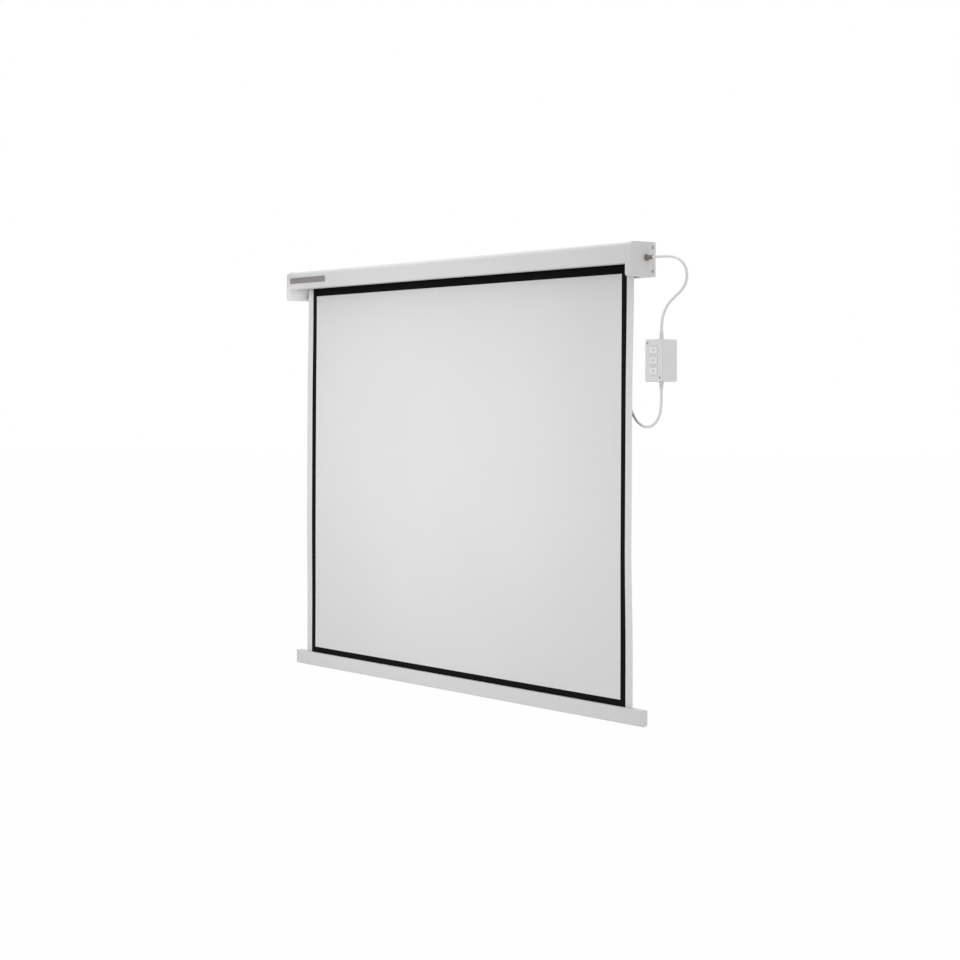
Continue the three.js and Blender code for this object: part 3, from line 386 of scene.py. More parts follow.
FINISHES: dict[Slot, Finish] = {
    # Polyester powder coat on steel: an even satin white with a faint orange peel
    Slot.WHITE_PAINT: Finish(
        "powder_coat_on_steel", "D6D6D5", "D0D0D0",
        patch_mm=240, roughness=0.42, wander=0.04, grain_mm=2.2, relief_mm=0.02,
    ),
    # The same coat on an extrusion: faint lines along the bar show through
    Slot.BAR_PAINT: Lined(
        "powder_coat_on_aluminium", "D6D6D5", "D1D1D0",
        patch_mm=240, roughness=0.4, wander=0.04, grain_mm=1.6, relief_mm=0.02, along=(60, 1, 1),
    ),
    # Moulded ABS: a warmer white than the paint, spark-eroded to a fine matte grain
    Slot.WHITE_PLASTIC: Finish(
        "moulded_abs_white", "D4D3D2", "CFCECC",
        patch_mm=90, roughness=0.52, wander=0.04, grain_mm=0.7, relief_mm=0.03,
    ),
    # Moulded ASA of the wall box: satin, a little brighter
    Slot.BOX_PLASTIC: Finish(
        "moulded_asa_satin", "DEDDDC", "D9D8D7",
        patch_mm=60, roughness=0.46, wander=0.04, grain_mm=0.8, relief_mm=0.025,
    ),
    # Polished ABS of the keys: smooth, so that it takes a soft highlight
    Slot.KEY_PLASTIC: Finish(
        "polished_abs_keys", "E4E4E3", "DFDFDE",
        patch_mm=40, roughness=0.28, wander=0.03, grain_mm=4.0, relief_mm=0.005, coat=0.2,
    ),
    # Soft PVC of a moulded plug: dull and slightly waxy
    Slot.PLUG_PLASTIC: Finish(
        "moulded_pvc_plug", "E1E1DF", "DBDBD9",
        patch_mm=30, roughness=0.5, wander=0.05, grain_mm=1.0, relief_mm=0.03,
    ),
    # Glass-filled nylon: mottled grey
    Slot.GREY_PLASTIC: Finish(
        "glass_filled_nylon_grey", "8B8C8E", "7E7F82",
        patch_mm=8, roughness=0.55, wander=0.06, grain_mm=0.8, relief_mm=0.04,
    ),
    # Glass-filled nylon: near black, dull
    Slot.BLACK_PLASTIC: Finish(
        "glass_filled_nylon_black", "1D1D1F", "262628",
        patch_mm=8, roughness=0.5, wander=0.06, grain_mm=0.8, relief_mm=0.04,
    ),
    # Acetal: a slightly waxy yellow
    Slot.YELLOW_PLASTIC: Finish(
        "moulded_acetal_yellow", "C9A227", "BF971D",
        patch_mm=6, roughness=0.4, wander=0.04, grain_mm=0.8, relief_mm=0.01,
    ),
    # Anodised aluminium plate: dark warm grey, brushed along its length
    Slot.BADGE_GREY: Lined(
        "anodised_plate_grey", "878180", "7C7675",
        patch_mm=30, roughness=0.4, wander=0.05, grain_mm=0.5, relief_mm=0.015, along=(40, 1, 1),
    ),
    # Polypropylene can of a capacitor: smooth and white
    Slot.CAPACITOR_SHELL: Finish(
        "polypropylene_can", "D9D9D6", "D3D3D0",
        patch_mm=20, roughness=0.35, wander=0.03, grain_mm=3.0, relief_mm=0.01,
    ),
    # Zinc-plated sheet steel: cool grey with a small spangle
    Slot.ZINC_STEEL: Spangled(
        "zinc_plated_steel", "B4B6B9", "A4A6AA",
        patch_mm=5, roughness=0.36, wander=0.08, grain_mm=0.9, relief_mm=0.01, metallic=1.0,
    ),
    # Turned bright steel: fine rings, a sharper highlight
    Slot.BRIGHT_STEEL: Lined(
        "turned_bright_steel", "C4C6C9", "B6B8BB",
        patch_mm=6, roughness=0.26, wander=0.05, grain_mm=0.5, relief_mm=0.008,
        metallic=1.0, along=(1, 12, 12),
    ),
    # Phosphated steel of the brake: dark and dry
    Slot.BRAKE_STEEL: Finish(
        "phosphated_steel", "4A4A4C", "424244",
        patch_mm=6, roughness=0.55, wander=0.06, grain_mm=0.6, relief_mm=0.02, metallic=0.8,
    ),
    # Enamelled copper wire in laminated steel
    Slot.COPPER_WINDING: Wound(
        "enamelled_copper_windings", "9A5F38", "5E5A58",
        patch_mm=1.4, roughness=0.4, wander=0.06, grain_mm=0.8, relief_mm=0.05, metallic=0.8,
    ),
    # Sintered bronze: tiny open pores
    Slot.BRONZE: Finish(
        "sintered_bronze", "A8814A", "94703E",
        patch_mm=2, roughness=0.45, wander=0.06, grain_mm=0.4, relief_mm=0.03, metallic=1.0,
    ),
    # Nickel-plated brass of the plug's pins: a pale, warm metal
    Slot.PIN_BRASS: Lined(
        "nickel_plated_brass", "CDBB8C", "C2AE7C",
        patch_mm=5, roughness=0.24, wander=0.04, grain_mm=0.4, relief_mm=0.006,
        metallic=1.0, along=(1, 1, 14),
    ),
    # Neoprene sleeve: dark grey with a dry bloom
    Slot.GLAND_RUBBER: Finish(
        "moulded_neoprene", "76726F", "7E7A77",
        patch_mm=7, roughness=0.72, wander=0.06, grain_mm=0.7, relief_mm=0.04,
    ),
    # Plasticised PVC sheath of the lead: off-white, soft sheen, faint drawing lines
    Slot.LEAD_WHITE: Finish(
        "pvc_sheath_white", "DEDEDC", "D6D6D4",
        patch_mm=25, roughness=0.44, wander=0.05, grain_mm=3.0, relief_mm=0.006,
    ),
    # Matte PVC-coated glass cloth: an even white with a weave of threads, drawn 1.6 mm apart to show
    Slot.CLOTH_WHITE: Woven(
        "coated_glass_cloth_white", "DCDCDC", "D6D6D6",
        patch_mm=420, roughness=0.82, wander=0.04, grain_mm=1.6, relief_mm=0.05, sheen=0.08,
    ),
    # The same cloth's black border and back
    Slot.CLOTH_BLACK: Woven(
        "coated_glass_cloth_black", "0B0B0C", "0F0F10",
        patch_mm=300, roughness=0.85, wander=0.05, grain_mm=1.6, relief_mm=0.05, gloss=0.1,
    ),
}


# The grey of a printed mark on a key
MARK_FINISH = Finish(
    "pad_printed_grey", "B4B6B9", "ACAEB1",
    patch_mm=20, roughness=0.4, wander=0.03, grain_mm=1.0, relief_mm=0.005,
)


def dress(
    thing: Thing,
    slot: Slot,
    body: Body,
    replaced: Iterable[str] = (),
) -> Thing:
    """Gives a piece its finish, its body and the nodes that it stands for.

    Args:
        thing: The finished piece.
        slot: The material slot that its finish comes from.
        body: The body that it rides on.
        replaced: The CAD nodes that it replaces.

    Returns:
        The same piece.
    """
    if not thing.data.materials:
        thing.data.materials.append(FINISHES[slot].material())
    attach(thing, body.value)
    replaced = list(replaced)
    if replaced:
        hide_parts(*replaced)
    stands_for = replaced or "nothing"
    LOG.info("%s: rides on %s, finish %s, stands for %s", thing.name, body.value, slot.value, stands_for)
    return thing


# Work by hand


class Workpiece:
    """One piece under the maker's hands: a primitive or a copy of a solid, shaped in edit mode.

    Attributes:
        thing: The Blender object. Its origin stays at the frame's origin.
    """

    # Corners of a CAD solid's triangles nearer than this are one corner, in mm
    MERGED = 0.01
    # Triangles turned less than this from each other are one flat face, in degrees
    FLAT = 0.5

    def __init__(self, thing: Thing, name: str) -> None:
        """Takes an object in hand.

        Args:
            thing: The object, placed and unshaped.
            name: What the piece is called.
        """
        self.thing = thing
        thing.name = name
        thing.data.name = name
        self.grasp()
        bpy.ops.object.transform_apply(location=True, rotation=True, scale=True)

    @staticmethod
    def put_down() -> None:
        """Deselects every object, in object mode."""
        if bpy.context.object and bpy.context.object.mode != "OBJECT":
            bpy.ops.object.mode_set(mode="OBJECT")
        bpy.ops.object.select_all(action="DESELECT")

    def grasp(self) -> None:
        """Makes this piece the only one that is selected."""
        self.put_down()
        self.thing.select_set(True)
        bpy.context.view_layer.objects.active = self.thing

    @classmethod
    def block(cls, name: str, low: Place, high: Place) -> Workpiece:
        """Starts from a block between two corners.

        Args:
            name: What the piece is called.
            low: Its lowest corner.
            high: Its highest corner.

        Returns:
            The piece.
        """
        cls.put_down()
        first, last = metres(low), metres(high)
        bpy.ops.mesh.primitive_cube_add(size=1, location=(first + last) / 2, scale=last - first)
        return cls(bpy.context.object, name)

    @classmethod
    def sheet(cls, name: str, low: Place, high: Place) -> Workpiece:
        """Starts from a flat sheet that stands across Y.

        Args:
            name: What the piece is called.
            low: Its lowest corner.
            high: Its highest corner, at the same Y.

        Returns:
            The piece.
        """
        cls.put_down()
        first, last = metres(low), metres(high)
        bpy.ops.mesh.primitive_plane_add(size=1, location=(first + last) / 2, rotation=(math.pi / 2, 0, 0))
        bpy.context.object.scale = (last.x - first.x, last.z - first.z, 1)
        return cls(bpy.context.object, name)

    @classmethod
    def wire(cls, name: str, points: Sequence[Place]) -> Workpiece:
        """Starts from a bent wire, an open line of edges.

        Args:
            name: What the piece is called.
            points: Where the wire passes.

        Returns:
            The piece.
        """
        cls.put_down()
        mesh = bpy.data.meshes.new(name)
        edges = [(i, i + 1) for i in range(len(points) - 1)]
        mesh.from_pydata([metres(point) for point in points], edges, [])
        thing = bpy.data.objects.new(name, mesh)
        bpy.context.scene.collection.objects.link(thing)
        return cls(thing, name)

    @classmethod
    def turned(
        cls,
        name: str,
        axis: Axis,
        centre: Place,
        profile: Sequence[Place],
        sides: int = 40,
    ) -> Workpiece:
        """Starts from a disc and draws it out along its axis, step by step, as on a lathe.

        Args:
            name: What the piece is called.
            axis: The axis that it is turned about.
            centre: A place on that axis; distances along it are measured from here.
            profile: Pairs of distance along the axis and radius, from one end to the other.
            sides: How many sides the disc has.

        Returns:
            The piece.
        """
        cls.put_down()
        way = Vector([1.0 if i == axis.value else 0.0 for i in range(3)])
        turn = {Axis.X: (0, math.pi / 2, 0), Axis.Y: (math.pi / 2, 0, 0), Axis.Z: (0, 0, 0)}[axis]
        (at, radius), *rest = profile
        bpy.ops.mesh.primitive_circle_add(
            vertices=sides,
            radius=radius * MM,
            fill_type="NGON",
            location=metres(centre) + way * at * MM,
            rotation=turn,
        )
        piece = cls(bpy.context.object, name)
        bpy.ops.object.mode_set(mode="EDIT")
        bpy.ops.mesh.select_all(action="SELECT")
        for next_at, next_radius in rest:
            bpy.ops.mesh.extrude_region_move(TRANSFORM_OT_translate={"value": way * (next_at - at) * MM})
            ratio = next_radius / radius
            size = [1.0 if i == axis.value else ratio for i in range(3)]
            middle = metres(centre) + way * next_at * MM
            bpy.ops.transform.resize(value=size, center_override=middle)
            at, radius = next_at, next_radius
        bpy.ops.mesh.select_all(action="SELECT")
        bpy.ops.mesh.normals_make_consistent(inside=False)
        bpy.ops.object.mode_set(mode="OBJECT")
        return piece

    @classmethod
    def like_node(cls, name: str, node: Thing) -> Workpiece:
        """Starts from a copy of a CAD solid, its triangles merged and its flat faces made whole.

        Args:
            name: What the piece is called.
            node: The node's object.

        Returns:
            The piece.
        """
        cls.put_down()
        mesh = node.data.copy()
        mesh.materials.clear()
        thing = bpy.data.objects.new(name, mesh)
        bpy.context.scene.collection.objects.link(thing)
        piece = cls(thing, name)
        bpy.ops.mesh.customdata_custom_splitnormals_clear()
        bpy.ops.object.mode_set(mode="EDIT")
        bpy.ops.mesh.select_all(action="SELECT")
        bpy.ops.mesh.remove_doubles(threshold=cls.MERGED * MM)
        bpy.ops.mesh.dissolve_limited(angle_limit=math.radians(cls.FLAT))
        bpy.ops.object.mode_set(mode="OBJECT")
        return piece

    def open_up(self, kind: str) -> bmesh.types.BMesh:
        """Goes into edit mode with nothing picked.

        Args:
            kind: What will be picked, "FACE" or "EDGE".

        Returns:
            The mesh in edit mode.
        """
        self.grasp()
        bpy.ops.object.mode_set(mode="EDIT")
        bpy.ops.mesh.select_mode(type=kind)
        bpy.ops.mesh.select_all(action="DESELECT")
        return bmesh.from_edit_mesh(self.thing.data)

    def pick_faces(self, test: Callable[[Vector, Vector], bool]) -> None:
        """Goes into edit mode and selects faces by their place and normal.

        Args:
            test: Says from a face's middle, in millimetres, and its normal whether it is picked.
        """
        shape = self.open_up("FACE")
        for face in [face for face in shape.faces if test(face.calc_center_median() / MM, face.normal)]:
            face.select_set(True)
        shape.select_flush_mode()
        bmesh.update_edit_mesh(self.thing.data)

    def pick_edges(self, test: Callable[[Vector, Vector], bool]) -> None:
        """Goes into edit mode and selects edges by their two ends.

        Args:
            test: Says from an edge's ends, in millimetres, whether it is picked.
        """
        shape = self.open_up("EDGE")
        for edge in [edge for edge in shape.edges if test(*(end.co / MM for end in edge.verts))]:
            edge.select_set(True)
        bmesh.update_edit_mesh(self.thing.data)

    def inset(self, width: float, depth: float = 0.0) -> None:
        """Insets the picked faces by a width and moves them in (negative) or out by a depth."""
        bpy.ops.mesh.inset(thickness=width * MM, depth=depth * MM)

    def extrude(self, move: Place) -> None:
        """Extrudes what is picked along a way."""
        bpy.ops.mesh.extrude_region_move(TRANSFORM_OT_translate={"value": metres(move)})

    def resize(self, ratio: Place, centre: Place) -> None:
        """Scales what is picked about a centre."""
        bpy.ops.transform.resize(value=ratio, center_override=metres(centre))

    def round_off(self, width: float, segments: int) -> None:
        """Bevels the picked edges."""
        bpy.ops.mesh.bevel(offset=width * MM, segments=segments, affect="EDGES", clamp_overlap=True)

    def lay_down(self) -> None:
        """Goes back to object mode."""
        bpy.ops.object.mode_set(mode="OBJECT")

    def face_outwards(self, inside: Place) -> None:
        """Makes an open shell's faces point away from a place.

        Args:
            inside: A place inside the shell.
        """
        middle = metres(inside)
        self.pick_faces(lambda at, normal: True)
        bpy.ops.mesh.normals_make_consistent(inside=False)
        self.lay_down()
        face = max(self.thing.data.polygons, key=lambda face: face.area)
        if (face.center - middle).dot(face.normal) < 0:
            self.pick_faces(lambda at, normal: True)
            bpy.ops.mesh.flip_normals()
            self.lay_down()

    def turn(self, axis: Axis, angle: float, centre: Place) -> None:
        """Turns the whole piece about an axis through a place, as the right hand turns.

        Args:
            axis: The axis.
            angle: How far, in radians.
            centre: A place on the axis.
        """
        turned = Matrix.Rotation(angle, 4, axis.name)
        moved = Matrix.Translation(metres(centre)) @ turned @ Matrix.Translation(-metres(centre))
        self.thing.data.transform(moved)

    def modify(self, kind: str, **settings: object) -> None:
        """Adds a modifier, sets it and applies it.

        Args:
            kind: Blender's name of the modifier's type.
            settings: Its properties.
        """
        self.grasp()
        modifier = self.thing.modifiers.new(kind.lower(), kind)
        for name, value in settings.items():
            setattr(modifier, name, value)
        bpy.ops.object.modifier_apply(modifier=modifier.name)

    def bevel(self, width: float, segments: int, angle: float) -> None:
        """Bevels every edge sharper than so many degrees.

        Args:
            width: How wide the bevels are.
            segments: How many steps they have.
            angle: Edges sharper than this are bevelled.
        """
        limit = math.radians(angle)
        self.modify("BEVEL", width=width * MM, segments=segments, limit_method="ANGLE", angle_limit=limit)

    def soften(self, width: float = 0.4, segments: int = 2, angle: float = 35) -> Thing:
        """Breaks every sharp edge and shades the curved faces smooth.

        Args:
            width: How wide the broken edges are.
            segments: How many steps they have.
            angle: Edges sharper than this many degrees are broken.

        Returns:
            The finished object.
        """
        if width:
            self.bevel(width, segments, angle)
        return self.smooth(angle)

    def smooth(self, angle: float = CRISP) -> Thing:
        """Shades the piece smooth, apart from edges sharper than so many degrees."""
        self.grasp()
        bpy.ops.object.shade_smooth_by_angle(angle=math.radians(angle))
        return self.thing

    def join(self, *others: Workpiece) -> None:
        """Makes other pieces part of this one."""
        self.grasp()
        for other in others:
            other.thing.select_set(True)
        bpy.ops.object.join()


# Leads


class Stiffness(Enum):
    """How a lead bends."""

    SHEATHED = "medium"


class Lay(Enum):
    """How a lead or a cloth is held."""

    HANGING = "hanging"
    COILED = "coiled"
    HUNG = "hung"
    WOUND = "stretched"


@dataclass
class Leads:
    """The control lead from case to wall box, and the mains lead that hangs in a coil behind the cloth.

    Attributes:
        diameter: Across the sheath.
        control_route: From the case's gland to the box's top gland.
        mains_route: From the box's bottom gland to the foot of the coil.
        coil_centre: The middle of the coil, in X and Z.
        coil_turns: How often the lead goes round.
        coil_least: Radius of the innermost turn.
        coil_pitch: How far one turn lies from the next.
        coil_back: Y of the layer along the wall.
        coil_front: Y of the layer in front of it.
        coil_steps: Points in each turn of the coil.
        tail: From the coil to the plug, from the coil's end in X.
        plug_top: Where the lead enters the plug.
        curve_steps: How finely the curve is drawn between two points.
        round_steps: How finely its section is drawn.
    """

    diameter: float = 7.0
    control_route: Sequence[Place] = (
        (836.3, -34, 4.5), (852, -34, 4.4), (869, -33.9, 4.2), (886, -33.7, 3.7), (902, -33.4, 2.4),
        (917, -32.9, -0.6), (931, -32.2, -6), (943, -31.4, -14.2), (951.5, -30.5, -25.5),
        (955.5, -29.5, -39), (954.5, -28.4, -53), (949, -27.3, -66), (939.5, -26.2, -77),
        (927, -25.2, -86), (913, -24.3, -94), (898.5, -23.6, -102.5), (885, -23, -112),
        (873.5, -22.5, -123.5), (864.5, -22.2, -137), (858.6, -22, -152), (856.3, -22, -166),
        (856, -22, -179.4),
    )
    mains_route: Sequence[Place] = (
        (856, -22, -330.6), (856, -22, -346), (855.6, -22, -361), (853.6, -21.8, -376),
        (848.6, -21.2, -390.5), (840, -20.4, -403), (827.8, -19.3, -412.8), (812.5, -17.8, -419),
        (796.5, -16.4, -421), (780.5, -15, -419), (765.2, -13.7, -413.2), (751.2, -12.5, -404),
        (738.8, -11.4, -391.5), (728, -10.4, -376), (719, -9.5, -357.5), (711.5, -8.8, -336),
        (705.7, -8.2, -311), (701.3, -7.7, -284), (698.5, -7.3, -254), (696.9, -7, -222),
        (696.125, -6.9, -190), (696.125, -6.9, -156), (696.125, -6.9, -122.3),
    )
    coil_centre: tuple[float, float] = (640.0, -115.0)
    coil_turns: float = 7.5
    coil_least: float = 28.0
    coil_pitch: float = 7.5
    coil_back: float = -6.9
    coil_front: float = -14.5
    coil_steps: int = 24
    tail: Sequence[Place] = (
        (0, -14.5, -122.3), (0, -14.5, -131), (0.1, -14.3, -140), (0.2, -13.9, -149), (0.3, -13.4, -158),
        (0.5, -12.8, -167), (0.7, -12.2, -176), (0.9, -11.6, -185), (1.1, -11.1, -194), (1.2, -10.7, -203),
        (1.2, -10.4, -212), (1.2, -10.4, -221.7),
    )
    plug_top: tuple[float, float, float] = (585.075, -10.4, -222.0)
    curve_steps: int = 4
    round_steps: int = 5

    def coil(self) -> list[Place]:
        """The coil's centre line: in along the wall, over where it turns back, and out in front.

        Returns:
            Its points, from the lead's start to its tail.
        """
        x, z = self.coil_centre
        points = []
        for step in range(round(self.coil_turns * self.coil_steps) + 1):
            turns = step / self.coil_steps
            from_middle = turns - self.coil_turns / 2
            radius = self.coil_least + self.coil_pitch * abs(from_middle)
            climb = min(max(2 * from_middle + 0.5, 0.0), 1.0)
            y = self.coil_back + (self.coil_front - self.coil_back) * climb
            angle = 2 * math.pi * turns
            points.append((x + radius * math.cos(angle), y, z + radius * math.sin(angle)))
        return points

    def thread(self, name: str, points: Sequence[Place]) -> Thing:
        """Lays a round lead along its points, as one smooth open curve.

        Args:
            name: What the lead is called.
            points: Where it passes.

        Returns:
            The curve object.
        """
        curve = bpy.data.curves.new(name, "CURVE")
        curve.dimensions = "3D"
        curve.resolution_u = self.curve_steps
        curve.bevel_depth = self.diameter / 2 * MM
        curve.bevel_resolution = self.round_steps
        curve.use_fill_caps = True
        spline = curve.splines.new("BEZIER")
        spline.bezier_points.add(len(points) - 1)
        for knot, place in zip(spline.bezier_points, points):
            knot.co = metres(place)
            knot.handle_left_type = "AUTO"
            knot.handle_right_type = "AUTO"
        thing = bpy.data.objects.new(name, curve)
        bpy.context.scene.collection.objects.link(thing)
        return thing

    @staticmethod
    def length(points: Sequence[Place]) -> float:
        """The length of a line of points, in metres."""
        return sum((Vector(b) - Vector(a)).length for a, b in zip(points, points[1:])) * MM

    @staticmethod
    def tie() -> Thing:
        """The strap round the bundle at the foot of the coil: its band, its head and the end that is left."""
        corner, corner_steps = 1.6, 4
        wider, head_proud, head_sunk, head_from, head_to = 0.01, 2.6, 0.4, 6.0, 14.0
        rim, dish = 1.2, 0.8
        narrower, end_front, end_back, end_from, end_to = 1.5, 1.5, 0.4, 13.0, 30.0
        band = Workpiece.like_node("lead_tie_strap", FRAME["nodes"]["lead_tie"])
        low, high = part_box("lead_tie")
        left, right = low.x / MM, high.x / MM
        front, foot = low.y / MM, low.z / MM
        band.pick_edges(lambda a, b: abs(a.x - b.x) > right - left - NEAR)
        band.round_off(corner, corner_steps)
        band.lay_down()
        head = Workpiece.block(
            "tie_head",
            (left - wider, front - head_proud, foot + head_from),
            (right + wider, front + head_sunk, foot + head_to),
        )
        head.pick_faces(lambda middle, normal: normal.y < -FACING)
        head.inset(rim, -dish)
        head.lay_down()
        end = Workpiece.block(
            "tie_end",
            (left + narrower, front - end_front, foot + end_from),
            (right - narrower, front - end_back, foot + end_to),
        )
        band.join(head, end)
        return band.soften(width=0.3)

    def plug(self) -> Thing:
        """The flat two-pin plug, moulded on the lead: shouldered body, finger grips and ribbed sleeve."""
        x, y, z = self.plug_top
        neck, length, half, thick = 24.0, 35.0, 18.0, 6.9
        shoulders = ((7.0, 0.62, 0.94), (5.0, 0.5, 0.86))
        grip_top, grip_frame, grip_slope, grip_depth = z - neck - 20.0, 5.0, 1.0, 0.7
        corner, corner_steps = 1.8, 4
        top = z - neck - sum(rise for rise, _, _ in shoulders)
        low, high = (x - half, y - thick, z - neck - length), (x + half, y + thick, top)
        body = Workpiece.block("plug_body", low, high)
        body.pick_faces(lambda middle, normal: normal.z > FACING)
        for rise, narrower, thinner in shoulders:
            top += rise
            body.extrude((0, 0, rise))
            body.resize((narrower, thinner, 1), (x, y, top))
        body.lay_down()
        for side in (-1, 1):
            body.pick_faces(lambda middle, normal, way=side: normal.y * way > FACING and middle.z < grip_top)
            body.inset(grip_frame)
            body.inset(grip_slope, -grip_depth)
            body.lay_down()
        body.bevel(corner, corner_steps, CRISP)
        foot, tip = (-neck - 1.5, 5.7), [(-0.2, 4.1), (0.65, 3.8)]
        ribs, rib_from, rib_pitch, widest, taper, groove = 5, 1.2, 4.4, 5.6, 0.24, 0.9
        flank, crest = 0.6, 2.4
        profile = [foot]
        for rib in range(ribs):
            at = rib_from - neck + rib * rib_pitch
            radius = widest - taper * rib
            waist = radius - groove
            profile += [(at, waist), (at + flank, radius), (at + crest, radius), (at + crest + flank, waist)]
        sleeve = Workpiece.turned("plug_sleeve", Axis.Z, (x, y, z), profile + tip, 32)
        body.join(sleeve)
        return body.soften(width=0.12, segments=1)

    def build(self) -> None:
        """Lays both leads and puts the tie and the plug on the mains lead."""
        control = self.thread("control_cable", self.control_route)
        dress(control, Slot.LEAD_WHITE, Body.CASE, ["control_lead"])
        round(self.length(self.control_route), 3)
        tail = [(self.coil()[-1][0] + x, y, z) for x, y, z in self.tail]
        route = [*self.mains_route, *self.coil(), *tail]
        mains = self.thread("mains_cable", route)
        dress(mains, Slot.LEAD_WHITE, Body.CASE, ["mains_lead", "mains_lead_coil", "mains_lead_tail"])
        tie = dress(self.tie(), Slot.BLACK_PLASTIC, Body.CASE, ["lead_tie"])
        plug = dress(self.plug(), Slot.PLUG_PLASTIC, Body.CASE, ["mains_plug"])
        for side in SIDES:
            pin = Workpiece.like_node(f"{side}_prong", FRAME["nodes"][f"plug_pin_{side}"])
            pin.soften(width=0.3, angle=CRISP)
            dress(pin.thing, Slot.PIN_BRASS, Body.CASE, [f"plug_pin_{side}"])
        round(self.length(route), 3)


# Sub-assemblies


def softened(
    node: str,
    name: str,
    slot: Slot,
    body: Body,
    width: float = 0.4,
    segments: int = 2,
) -> Thing:
    """Makes the finished form of a CAD solid: its own shape with broken edges and smooth rounds.

    Args:
        node: The solid's name.
        name: What the piece is called.
        slot: Its material slot.
        body: The body that it rides on.
        width: How wide its broken edges are.
        segments: How many steps they have.

    Returns:
        The dressed piece.
    """
    piece = Workpiece.like_node(name, FRAME["nodes"][node])
    return dress(piece.soften(width, segments), slot, body, [node])


@dataclass(frozen=True)
class Sleeve:
    """A strain relief: a collar on the wall that it leaves, and rings that get smaller, so that it bends.

    Attributes:
        depth: How far it reaches into the wall.
        neck: Its radius there.
        collar: Radius of its collar.
        edge: Width of the collar's outer edge.
        length: Where it ends, from the wall.
        start: Where its first ring starts, from the wall.
        foot: Radius of its first ring.
        tip: Radius of its last ring.
        rings: How many rings it has.
        off_wall: Gap between the wall and the collar.
        collar_end: Where the collar ends, from the wall.
        groove: How deep the grooves between the rings are.
        flank: Length of a ring's slope.
        crest: Where a ring's top ends, as a share of the pitch.
        plain: How much of its length has no ring, after the last one.
        lip: Length of the slope at its end.
        lip_drop: How much smaller its end is than the last groove.
    """

    depth: float
    neck: float
    collar: float
    edge: float
    length: float
    start: float
    foot: float
    tip: float
    rings: int = 5
    off_wall: float = 0.3
    collar_end: float = 2.0
    groove: float = 0.75
    flank: float = 0.3
    crest: float = 0.62
    plain: float = 1.6
    lip: float = 0.5
    lip_drop: float = 0.25

    def profile(self) -> list[tuple[float, float]]:
        """Its outline, as pairs of distance from the wall and radius."""
        outer, inner = self.collar, self.collar - self.edge
        points = [(-self.depth, self.neck), (self.off_wall, self.neck), (self.off_wall, inner)]
        points += [(2 * self.off_wall, outer), (self.collar_end, outer), (self.collar_end + self.edge, inner)]
        pitch = (self.length - self.plain - self.start) / self.rings
        for ring in range(self.rings):
            at = self.start + ring * pitch
            crest_end = at + self.crest * pitch
            radius = self.foot + (self.tip - self.foot) * ring / (self.rings - 1)
            waist = radius - self.groove
            points += [(at, waist), (at + self.flank, radius)]
            points += [(crest_end, radius), (crest_end + self.flank, waist)]
        waist = self.tip - self.groove
        return [*points, (self.length - self.lip, waist), (self.length, waist - self.lip_drop)]

    def make(self, name: str, axis: Axis, foot: Place, way: int, sides: int) -> Thing:
        """Turns the sleeve.

        Args:
            name: What the piece is called.
            axis: The axis that it points along.
            foot: Its middle, on the wall that it leaves.
            way: 1 where it points up the axis and −1 where it points down.
            sides: How many sides it has.

        Returns:
            The finished object.
        """
        profile = [(at * way, radius) for at, radius in self.profile()]
        return Workpiece.turned(name, axis, foot, profile, sides).soften(width=0.1, segments=1)


